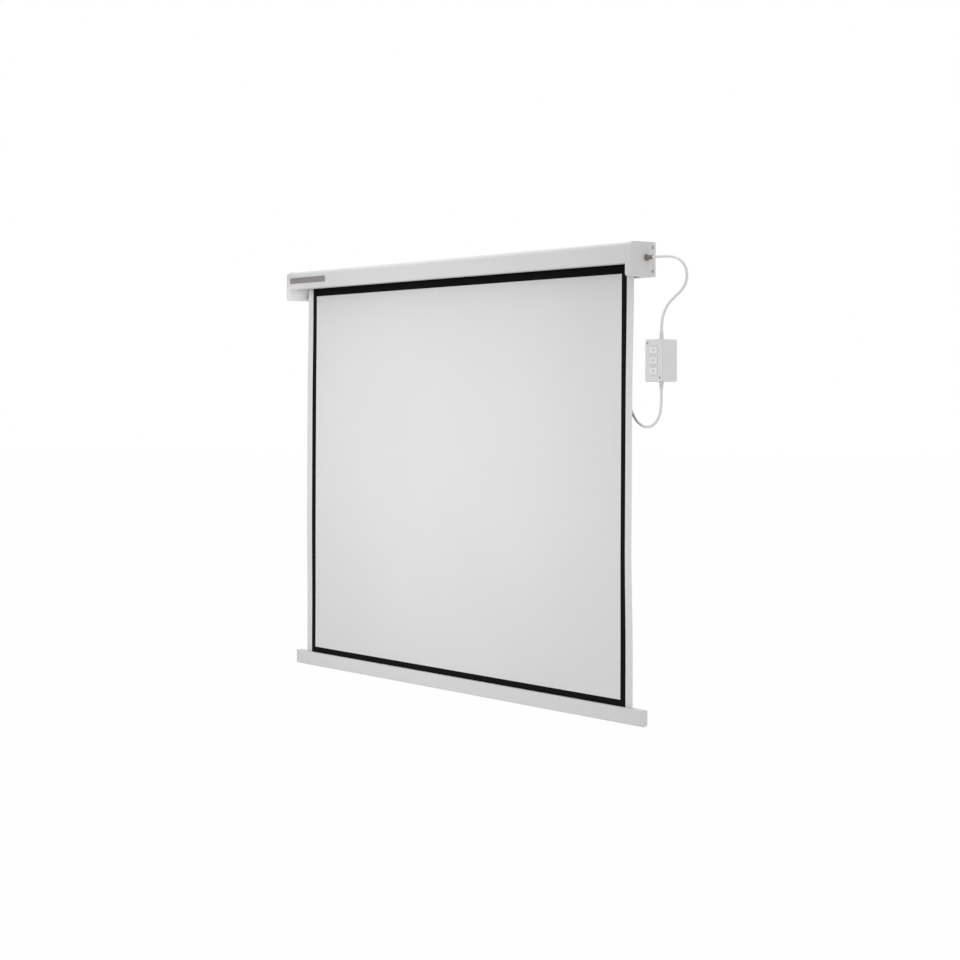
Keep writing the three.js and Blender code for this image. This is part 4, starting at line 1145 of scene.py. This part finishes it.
@dataclass
class Case:
    """The long case: bent housing, front cover, end caps and plates, screws, blank badge, outlet.

    Attributes:
        half_length: From the middle to the outside of an end cap.
        half_height: From the middle to the top of the housing.
        front_y: The front cover's face.
        sheet: Thickness of the steel.
        cover_bottom: The front cover's lower edge.
        cover_lip: Where its lower lip ends, in Y.
        cover_lap: Where its upper flange ends, in Y.
        top_bend: Radius and steps of its upper bend.
        lip_bend: Radius and steps of its lower bend.
        sheet_end: Where the sheets end, in X.
        exit: Where the lead leaves the right end cap.
        sleeve: The dark sleeve there.
        cap_holes: Middles of the holes in a cap, in Y and Z.
        cap_hole_rim: Edges of a cap nearer than this to a hole's middle stay crisp.
        cap_corner: Width of a cap's outer edge.
        badge_x: Ends of the blank plate, in X.
        badge_y: Its face and its back, in Y.
        badge_z: Its lower and its upper edge.
        badge_corner: Radius of its corners.
        badge_rim: Width of its rim.
        badge_sunk: How far its face lies behind the rim.
    """

    half_length: float = 812.0
    half_height: float = 43.5
    front_y: float = -88.0
    sheet: float = 1.2
    cover_bottom: float = -10.5
    cover_lip: float = -60.0
    cover_lap: float = -64.0
    top_bend: tuple[float, int] = (13.0, 14)
    lip_bend: tuple[float, int] = (3.0, 8)
    sheet_end: float = 792.7
    exit: tuple[float, float, float] = (812.0, -34.0, 4.5)
    sleeve: Sleeve = Sleeve(
        depth=8, neck=5.0, collar=8.0, edge=0.4, length=24.7, start=2.5, foot=6.6, tip=4.9
    )
    cap_holes: Sequence[tuple[float, float]] = ((-14.0, 30.0), (-14.0, -30.0), (-34.0, 4.5))
    cap_hole_rim: float = 9.0
    cap_corner: float = 1.8
    badge_x: tuple[float, float] = (-791.0, -595.0)
    badge_y: tuple[float, float] = (-89.2, -88.05)
    badge_z: tuple[float, float] = (7.5, 25.0)
    badge_corner: float = 2.5
    badge_rim: float = 1.3
    badge_sunk: float = 0.3

    def cover(self) -> Thing:
        """Folds the front cover from one flat sheet: face, rounded upper flange and lower lip."""
        end, face = self.sheet_end, self.front_y
        top, bottom = self.half_height, self.cover_bottom
        piece = Workpiece.sheet("front_panel", (-end, face, bottom), (end, face, top))
        piece.pick_edges(lambda a, b: min(a.z, b.z) > top - NEAR)
        piece.extrude((0, self.cover_lap - face, 0))
        piece.lay_down()
        piece.pick_edges(lambda a, b: max(a.z, b.z) < bottom + NEAR)
        piece.extrude((0, self.cover_lip - face, 0))
        piece.lay_down()
        for bend_z, (radius, steps) in ((top, self.top_bend), (bottom, self.lip_bend)):
            piece.pick_edges(
                lambda a, b, z=bend_z: abs(a.z - z) + abs(b.z - z) < NEAR
                and max(a.y, b.y) < face + NEAR
                and abs(a.x - b.x) > end
            )
            piece.round_off(radius, steps)
            piece.lay_down()
        piece.face_outwards((0, (face + self.cover_lip) / 2, (top + bottom) / 2))
        piece.modify("SOLIDIFY", thickness=self.sheet * MM, offset=-1.0)
        return piece.soften(width=0.25, angle=CRISP)

    def cap(self, side: str, way: int) -> Thing:
        """An end cap with a soft outer edge, its holes left crisp.

        Args:
            side: "left" or "right".
            way: −1 at the left and 1 at the right.

        Returns:
            The piece.
        """

        def outer(a: Vector, b: Vector) -> bool:
            """Whether an edge is on the cap's outer rim, and not on a hole."""
            middle = (a + b) / 2
            near = min(math.hypot(middle.y - y, middle.z - z) for y, z in self.cap_holes)
            return min(a.x * way, b.x * way) > self.half_length - NEAR and near > self.cap_hole_rim

        piece = Workpiece.like_node(f"{side}_case_cap", FRAME["nodes"][f"{side}_end_cap"])
        piece.pick_edges(outer)
        piece.round_off(self.cap_corner, 4)
        piece.lay_down()
        return piece.soften(width=0.3)

    def badge(self) -> Thing:
        """The blank plate at the left of the front: rounded corners and a fine raised rim."""
        low, high = zip(self.badge_x, self.badge_y, self.badge_z)
        piece = Workpiece.block("blank_badge", low, high)
        piece.pick_edges(lambda a, b: abs(a.y - b.y) > NEAR)
        piece.round_off(self.badge_corner, 5)
        piece.lay_down()
        piece.pick_faces(lambda middle, normal: normal.y < -FACING)
        piece.inset(self.badge_rim)
        piece.inset(self.badge_sunk, -self.badge_sunk)
        piece.lay_down()
        return piece.soften(width=0.15, angle=CRISP)

    def build(self) -> None:
        """Builds and dresses the case."""
        softened("case_housing", "housing_shell", Slot.WHITE_PAINT, Body.CASE, width=0.3)
        dress(self.cover(), Slot.WHITE_PAINT, Body.CASE, ["front_cover"])
        for side, way in SIDES.items():
            dress(self.cap(side, way), Slot.WHITE_PLASTIC, Body.CASE, [f"{side}_end_cap"])
            softened(f"{side}_end_plate", f"{side}_inner_plate", Slot.WHITE_PAINT, Body.CASE, width=0.3)
            for level in ("upper", "lower"):
                screw = f"{side}_cap_screw_{level}"
                softened(screw, f"{side}_{level}_cap_bolt", Slot.BRIGHT_STEEL, Body.CASE, width=0.25)
        dress(self.badge(), Slot.BADGE_GREY, Body.CASE, ["badge_plate"])
        outlet = self.sleeve.make("case_strain_relief", Axis.X, self.exit, 1, 48)
        dress(outlet, Slot.GLAND_RUBBER, Body.CASE, ["case_gland"])


@dataclass
class Brackets:
    """The two wall brackets, each with a hook on top, a tab and a locking screw below, and a lead hook."""

    def build(self) -> None:
        """Builds and dresses both brackets."""
        for side in SIDES:
            softened(f"{side}_wall_bracket", f"{side}_hanger", Slot.ZINC_STEEL, Body.CASE, width=0.45)
            softened(f"{side}_locking_screw", f"{side}_locking_bolt", Slot.BRIGHT_STEEL, Body.CASE, width=0.3)


@dataclass
class Roller:
    """The steel tube with the turns of cloth on it, and what turns with it.

    Attributes:
        axis_y: The roller's axis in Y.
        axis_z: The roller's axis in Z.
        inner: Radius under the first turn.
        outer: Radius of the last turn.
        half_width: Half the cloth's width.
        turns: Turns of cloth on the tube.
        cloth: Thickness of a turn as drawn.
        steps: Flats in each turn.
    """

    axis_y: float = -57.6
    axis_z: float = 16.0
    inner: float = 20.25
    outer: float = 20.9
    half_width: float = 767.0
    turns: float = 2.0
    cloth: float = 0.2
    steps: int = 64

    def roll(self) -> Thing:
        """Winds the cloth: a spiral drawn out along the roller and given its thickness."""
        points = []
        for step in range(round(self.turns * self.steps) + 1):
            share = step / (self.turns * self.steps)
            radius = self.inner + (self.outer - self.inner) * share
            angle = 2 * math.pi * step / self.steps
            y, z = self.axis_y + radius * math.cos(angle), self.axis_z + radius * math.sin(angle)
            points.append((-self.half_width, y, z))
        piece = Workpiece.wire("cloth_turns", points)
        piece.pick_edges(lambda a, b: True)
        piece.extrude((2 * self.half_width, 0, 0))
        piece.lay_down()
        piece.modify("SOLIDIFY", thickness=self.cloth * MM, offset=0.0)
        lay_flat(
            piece.thing,
            lambda at: (at.x, math.atan2(at.z - self.axis_z * MM, at.y - self.axis_y * MM) * self.outer * MM),
        )
        return piece.smooth()

    def build(self) -> None:
        """Builds and dresses the roller."""
        roll = dress(self.roll(), Slot.CLOTH_BLACK, Body.ROLLER, ["fabric_roll"])
        softened("roller_tube", "winding_tube", Slot.ZINC_STEEL, Body.ROLLER, width=0)
        softened("idle_hub", "idle_end_hub", Slot.BLACK_PLASTIC, Body.ROLLER, width=0.3)
        softened("crown_wheel", "motor_end_crown", Slot.BLACK_PLASTIC, Body.ROLLER, width=0.25)
        softened("idle_pin", "idle_end_pin", Slot.BRIGHT_STEEL, Body.CASE, width=0.4)


@dataclass
class Motor:
    """The tubular motor's head and its two setting screws, which show from below."""

    def build(self) -> None:
        """Builds and dresses what shows of the motor."""
        softened("motor_head", "motor_end_head", Slot.BLACK_PLASTIC, Body.CASE, width=0.35)
        softened("upper_limit_screw", "upper_setting_screw", Slot.YELLOW_PLASTIC, Body.UPPER_LIMIT, width=0.2)
        softened("lower_limit_screw", "lower_setting_screw", Slot.WHITE_PLASTIC, Body.LOWER_LIMIT, width=0.2)


def lay_flat(thing: Thing, flat: Callable[[Vector], tuple[float, float]]) -> None:
    """Gives a piece of cloth its flat coordinates, in metres.

    Args:
        thing: The mesh object.
        flat: Turns a place on the piece, in metres, to a place on the flat cloth.
    """
    layer = thing.data.uv_layers.get("flat") or thing.data.uv_layers.new(name="flat")
    for loop in thing.data.loops:
        layer.data[loop.index].uv = flat(thing.data.vertices[loop.vertex_index].co)


@dataclass
class Cloth:
    """The hanging cloth: white picture, printed black border, white margins, black back.

    Its lowest part, the border under the picture, rides on the bar, and the rest hangs from the case.

    Attributes:
        y: The cloth's plane.
        thickness: Its thickness.
        half_width: Half its width.
        half_border: From the middle to the outside of the border.
        half_view: From the middle to the inside of the border.
        top: Where it leaves the roll.
        view_top: Upper edge of the picture.
        view_bottom: Lower edge of the picture.
        bottom: Where it ends, inside the bar.
        hem_round: Length of the cloth that goes round the bar's rod; not used.
        seam: Gap between the part on the bar and the rest.
        lifted: How far the bar rises; not used.
        curls: How far its left and its right edge curl forward.
        curl_width: Width of the strip that curls.
        held_top: How far below its top it is still held flat by the roll.
        held_bottom: How far above its bottom it is still held flat by the bar.
        loosening: The way it takes from there to hang freely.
        edge_swing: How far the side edges swing in a long wave.
        edge_power: How soon that wave dies away from the edges.
        edge_period: Length of that wave, down the cloth.
        edge_shift: How far the wave is shifted at each side, as a share of its length.
        swing: How far the whole cloth swings in slow waves.
        periods: Length of those waves, across and down the cloth.
        shifts: How far they are shifted, as a share of their length.
        mesh_size: About how far apart the mesh's lines are.
        back_limit: A face whose normal's Y is over this is on the black back.
    """

    y: float = -36.0
    thickness: float = 0.42
    half_width: float = 767.0
    half_border: float = 740.0
    half_view: float = 720.0
    top: float = 16.0
    view_top: float = -32.0
    view_bottom: float = -1115.5
    bottom: float = -1138.0
    hem_round: float = 46.0
    seam: float = 0.04
    lifted: float = 1087.0
    curls: tuple[float, float] = (2.0, 5.0)
    curl_width: float = 62.0
    held_top: float = 70.0
    held_bottom: float = 125.0
    loosening: float = 300.0
    edge_swing: float = 1.3
    edge_power: int = 5
    edge_period: float = 2600.0
    edge_shift: float = 0.18
    swing: float = 0.7
    periods: tuple[float, float] = (830.0, 1900.0)
    shifts: tuple[float, float] = (0.1, 0.2)
    mesh_size: float = 14.0
    back_limit: float = 0.5

    def lines(self, stops: Sequence[float]) -> list[float]:
        """Lines between stops, all stops among them, about a mesh size apart."""
        places = [stops[0]]
        for start, end in zip(stops, stops[1:]):
            count = max(1, round(abs(end - start) / self.mesh_size))
            places += [start + (end - start) * (i + 1) / count for i in range(count)]
        return places

    @staticmethod
    def ease(share: float) -> float:
        """Rises smoothly from zero to one as a share does."""
        share = min(max(share, 0.0), 1.0)
        return share * share * (3 - 2 * share)

    @staticmethod
    def wave(turns: float) -> float:
        """A sine wave after so many turns."""
        return math.sin(2 * math.pi * turns)

    def stray(self, x: float, z: float) -> float:
        """How far the cloth strays from its plane: slow waves, stronger at the free side edges.

        Args:
            x: Place across the cloth.
            z: Place down the cloth.

        Returns:
            The distance along Y.
        """
        away = min(self.top - self.held_top - z, z - self.bottom - self.held_bottom)
        side = math.copysign(1.0, x)
        edge = self.edge_swing * abs(x / self.half_width) ** self.edge_power
        edge *= self.wave(z / self.edge_period + self.edge_shift * side)
        curl = -self.curls[x > 0] * self.ease(1 - (self.half_width - abs(x)) / self.curl_width)
        (period_x, period_z), (shift_x, shift_z) = self.periods, self.shifts
        slow = self.swing * self.wave(x / period_x + shift_x) * self.wave(z / period_z + shift_z)
        return self.ease(away / self.loosening) * (edge + curl + slow)

    def is_border(self, x: float, z: float) -> bool:
        """Whether the front is printed black at a place."""
        if abs(x) > self.half_border:
            return False
        return abs(x) > self.half_view or z > self.view_top or z < self.view_bottom

    def weave(self, name: str, heights: Sequence[float]) -> Thing:
        """Weaves a part of the cloth: a fine mesh with the border's edges as lines of its own.

        Args:
            name: What the part is called.
            heights: Its upper edge, where the print changes, and its lower edge.

        Returns:
            The closed sheet.
        """
        stops = [self.half_view, self.half_border, self.half_width]
        across = self.lines([-stop for stop in reversed(stops)] + stops)
        down = self.lines(heights)
        shape = bmesh.new()
        rows = [[shape.verts.new(metres((x, self.y + self.stray(x, z), z))) for x in across] for z in down]
        for row, (upper, lower) in enumerate(zip(rows, rows[1:])):
            for column in range(len(across) - 1):
                face = shape.faces.new((upper[column], lower[column], lower[column + 1], upper[column + 1]))
                middle = ((across[column] + across[column + 1]) / 2, (down[row] + down[row + 1]) / 2)
                face.material_index = int(self.is_border(*middle))
        mesh = bpy.data.meshes.new(name)
        shape.to_mesh(mesh)
        shape.free()
        for slot in (Slot.CLOTH_WHITE, Slot.CLOTH_BLACK):
            mesh.materials.append(FINISHES[slot].material())
        thing = bpy.data.objects.new(name, mesh)
        bpy.context.scene.collection.objects.link(thing)
        piece = Workpiece(thing, name)
        piece.modify("SOLIDIFY", thickness=self.thickness * MM, offset=0.0)
        for face in thing.data.polygons:
            if face.normal.y > self.back_limit:
                face.material_index = 1
        lay_flat(thing, lambda at: (at.x, at.z))
        piece.smooth()
        return thing

    def build(self) -> None:
        """Hangs the cloth, its lowest part riding on the bar."""
        heights = [self.top, self.view_top, self.view_bottom + self.seam]
        sheet = dress(self.weave("hanging_cloth", heights), Slot.CLOTH_WHITE, Body.CASE, ["screen_fabric"])
        hem = dress(self.weave("cloth_hem", [self.view_bottom, self.bottom]), Slot.CLOTH_BLACK, Body.BAR)
        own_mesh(sheet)


@dataclass
class Bar:
    """The weighted bottom bar and its two end caps.

    Attributes:
        half_length: From the middle to the outside of a cap.
        cap_corner: Width of a cap's outer edge.
    """

    half_length: float = 812.0
    cap_corner: float = 1.2

    def cap(self, side: str, way: int) -> Thing:
        """A bar cap with a soft outer edge.

        Args:
            side: "left" or "right".
            way: −1 at the left and 1 at the right.

        Returns:
            The piece.
        """
        piece = Workpiece.like_node(f"{side}_bar_end", FRAME["nodes"][f"{side}_bar_cap"])
        piece.pick_edges(lambda a, b: min(a.x * way, b.x * way) > self.half_length - NEAR)
        piece.round_off(self.cap_corner, 4)
        piece.lay_down()
        return piece.soften(width=0.2)

    def build(self) -> None:
        """Builds and dresses the bar."""
        softened("bottom_bar", "bar_extrusion", Slot.BAR_PAINT, Body.BAR, width=0.25)
        for side, way in SIDES.items():
            dress(self.cap(side, way), Slot.WHITE_PLASTIC, Body.BAR, [f"{side}_bar_cap"])


class Mark(Enum):
    """The raised mark on a key: how many corners it has, and how far the first is turned, in degrees."""

    RISE = (3, 0)
    HALT = (4, 45)
    SINK = (3, 180)


@dataclass
class SwitchBox:
    """The wall box with three keys.

    Attributes:
        x: The box's middle in X.
        z: The box's middle in Z.
        half_height: Half its height.
        key_face: The face of a key that isn't pressed, in Y.
        key_pitch: From one key to the next.
        key_rim: Width of the flat rim round a key's face.
        key_dish: Width and depth of each step down to the middle of its face.
        mark: Outline of a key's raised mark, as pairs of distance behind the key's face and radius.
        exit_y: Where the leads go in and out, in Y.
        sleeve: The sleeve on each lead.
    """

    x: float = 856.0
    z: float = -255.0
    half_height: float = 53.0
    key_face: float = -50.0
    key_pitch: float = 26.0
    key_rim: float = 0.7
    key_dish: Sequence[tuple[float, float]] = ((0.5, 0.22), (0.5, 0.08))
    mark: Sequence[tuple[float, float]] = ((1.2, 3.4), (0.1, 3.4), (-0.05, 3.2))
    exit_y: float = -22.0
    sleeve: Sleeve = Sleeve(
        depth=5, neck=4.5, collar=6.5, edge=0.3, length=22.9, start=2.4, foot=5.9, tip=4.6
    )

    def key(self, name: str, mark: Mark, z: float) -> Thing:
        """A key with a dished face and a raised mark.

        Args:
            name: The start of the node's name.
            mark: Its mark.
            z: Its middle.

        Returns:
            The piece.
        """
        piece = Workpiece.like_node(f"{name}_push_key", FRAME["nodes"][f"{name}_key"])
        piece.pick_faces(lambda middle, normal: normal.y < -FACING and middle.y < self.key_face + NEAR)
        piece.inset(self.key_rim)
        for width, depth in self.key_dish:
            piece.inset(width, -depth)
        piece.lay_down()
        piece.thing.data.materials.append(FINISHES[Slot.KEY_PLASTIC].material())
        piece.soften(width=0.2, angle=CRISP)
        corners, turn = mark.value
        centre = (self.x, self.key_face, z)
        sign = Workpiece.turned(f"{name}_mark", Axis.Y, centre, self.mark, corners)
        sign.turn(Axis.Y, math.radians(turn), centre)
        sign.thing.data.materials.append(MARK_FINISH.material())
        sign.soften(width=0.06, angle=CRISP)
        piece.join(sign)
        return piece.smooth()

    def build(self) -> None:
        """Builds and dresses the box."""
        softened("switch_back_box", "box_body", Slot.BOX_PLASTIC, Body.CASE, width=0.35, segments=3)
        softened("switch_front_cover", "box_lid", Slot.BOX_PLASTIC, Body.CASE, width=0.35, segments=3)
        for level in ("upper", "lower"):
            softened(f"box_screw_{level}", f"{level}_lid_screw", Slot.BRIGHT_STEEL, Body.CASE, width=0.2)
        for name, mark, row, body in (
            ("up", Mark.RISE, 1, Body.UP),
            ("stop", Mark.HALT, 0, Body.STOP),
            ("down", Mark.SINK, -1, Body.DOWN),
        ):
            key = self.key(name, mark, self.z + row * self.key_pitch)
            dress(key, Slot.KEY_PLASTIC, body, [f"{name}_key"])
        for end, way in (("top", 1), ("bottom", -1)):
            foot = (self.x, self.exit_y, self.z + way * self.half_height)
            sleeve = self.sleeve.make(f"{end}_strain_relief", Axis.Z, foot, way, 40)
            dress(sleeve, Slot.LEAD_WHITE, Body.CASE, [f"switch_{end}_gland"])


def dress_nodes() -> None:
    """Gives every CAD solid that still shows the finish of its slot."""
    for part in FRAME["record"]["subparts"]:
        node = FRAME["nodes"][part["node"]]
        if node.hide_render:
            continue
        material = FINISHES[Slot(part["material_slot"])].material()
        node.data.materials.clear()
        node.data.materials.append(material)
        LOG.info("%s: the CAD solid itself, finish %s", part["node"], part["material_slot"])


# Studio


@dataclass(frozen=True)
class Lamp:
    """A soft spotlight, whose pool of light fades evenly from its middle to its rim.

    Attributes:
        name: What it is called.
        place: Where it hangs.
        aim: What it faces.
        pool: Radius of its pool of light at that place.
        stretch: How much wider that pool is than high.
        power: Its power, in watts.
        size: Its radius, in metres.
    """

    name: str
    place: Place
    aim: Place
    pool: float
    stretch: float
    power: float
    size: float = 0.35

    def hang(self) -> None:
        """Hangs the lamp and turns it to what it faces."""
        data = bpy.data.lights.new(self.name, "SPOT")
        way = Vector(self.aim) - Vector(self.place)
        data.spot_size = 2 * math.atan(self.pool / way.length)
        data.spot_blend = 1.0
        data.shadow_soft_size = self.size
        data.energy = self.power
        lamp = bpy.data.objects.new(self.name, data)
        lamp.location = metres(self.place)
        lamp.scale = (self.stretch, 1, 1)
        lamp.rotation_euler = (metres(self.aim) - metres(self.place)).to_track_quat("-Z", "Y").to_euler()
        bpy.context.scene.collection.objects.link(lamp)


@dataclass
class Studio:
    """Camera, floor, world and lamps.

    Attributes:
        eye: Where the camera stands.
        heading: How far it is turned from looking along +Y, in degrees.
        tilt: How far it is tipped up from looking straight down, in degrees.
        roll: How far it is turned about its own line of sight, in degrees.
        lens: Its focal length.
        sensor: Width of its sensor.
        rise: Its vertical shift, a share of the picture's width.
        sight: How far it sees, in metres.
        floor_z: Height of the floor.
        floor_size: Side of the floor, in metres.
        floor_white: How much of the floor is plain white to the eye, so that its shadow is faint.
        lamps: What lights the object, besides the world.
    """

    eye: tuple[float, float, float] = (4739.0, -3511.5, -372.5)
    heading: float = 53.03
    tilt: float = 90.29
    roll: float = -0.22
    lens: float = 78.12
    sensor: float = 36.0
    rise: float = -0.087
    sight: float = 100.0
    floor_z: float = -2600.0
    floor_size: float = 600.0
    floor_white: float = 0.97
    lamps: Sequence[Lamp] = (
        # The soft pool of light on the middle of the cloth
        Lamp("front_spot", (-500, -3000, 0), (-100, -36, -470), pool=850, stretch=1.35, power=84),
        # Light on the case's top and on the wall side
        Lamp("top_spot", (0, 300, 2600), (0, -60, 40), pool=1800, stretch=1.3, power=120),
        # The lit hollow under the case's left end
        Lamp("corner_spot", (1700, -1500, -700), (-800, -60, -30), pool=60, stretch=1, power=185, size=0.02),
    )

    def camera(self) -> None:
        """Stands the camera where the photograph was taken from."""
        data = bpy.data.cameras.new("camera")
        data.lens = self.lens
        data.sensor_width = self.sensor
        data.shift_y = self.rise
        data.clip_end = self.sight
        camera = bpy.data.objects.new("camera", data)
        camera.location = metres(self.eye)
        camera.rotation_euler = [math.radians(angle) for angle in (self.tilt, self.roll, self.heading)]
        bpy.context.scene.collection.objects.link(camera)
        bpy.context.scene.camera = camera

    @staticmethod
    def seen(tree: Tree) -> Socket:
        """One where the camera looks, straight on or by a mirror or glass."""
        path = add_node(tree, "LightPath").outputs
        either = path["Is Camera Ray"]
        for ray in ("Is Glossy Ray", "Is Transmission Ray"):
            either = add_node(tree, "Math", links={0: either, 1: path[ray]}, operation="MAXIMUM").outputs[0]
        return either

    def world(self) -> None:
        """A white surround to the eye, and plain soft light on the object."""
        world = bpy.data.worlds.new("studio")
        world.use_nodes = True
        tree = world.node_tree
        tree.nodes.clear()
        light = add_node(tree, "Background", {"Color": linear("F4F4F5"), "Strength": 1.0})
        white = add_node(tree, "Background", {"Color": (1, 1, 1, 1), "Strength": 1.0})
        parts = {0: self.seen(tree), 1: light.outputs[0], 2: white.outputs[0]}
        mixed = add_node(tree, "MixShader", links=parts)
        add_node(tree, "OutputWorld", links={"Surface": mixed.outputs[0]})
        bpy.context.scene.world = world

    def floor(self) -> None:
        """A plain pale floor that keeps the object's shadow."""
        Workpiece.put_down()
        bpy.ops.mesh.primitive_plane_add(size=self.floor_size, location=(0, 0, self.floor_z * MM))
        floor = bpy.context.object
        floor.name = "studio_floor"
        material = bpy.data.materials.new("studio_floor_paint")
        material.use_nodes = True
        tree = material.node_tree
        tree.nodes.clear()
        paint = add_node(tree, "BsdfDiffuse", {"Color": linear("F5F5F5"), "Roughness": 0.5})
        white = add_node(tree, "Emission", {"Color": (1, 1, 1, 1), "Strength": 1.0})
        share = add_node(tree, "Math", {1: self.floor_white}, {0: self.seen(tree)}, operation="MULTIPLY")
        parts = {0: share.outputs[0], 1: paint.outputs[0], 2: white.outputs[0]}
        mixed = add_node(tree, "MixShader", links=parts)
        add_node(tree, "OutputMaterial", links={"Surface": mixed.outputs[0]})
        floor.data.materials.append(material)

    def build(self) -> None:
        """Sets up the whole studio."""
        bpy.context.scene.view_settings.view_transform = "Standard"
        self.camera()
        self.world()
        self.floor()
        for lamp in self.lamps:
            lamp.hang()


def main() -> None:
    """Builds the studio and every piece, and says so."""
    logging.basicConfig(level=logging.INFO, format="%(message)s", stream=sys.stdout)
    FRAME.update(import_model())
    Studio().build()
    for assembly in (Leads(), Case(), Brackets(), Roller(), Motor(), Cloth(), Bar(), SwitchBox()):
        LOG.info("%s", type(assembly).__name__)
        assembly.build()
    dress_nodes()


if __name__ == "__main__":
    main()
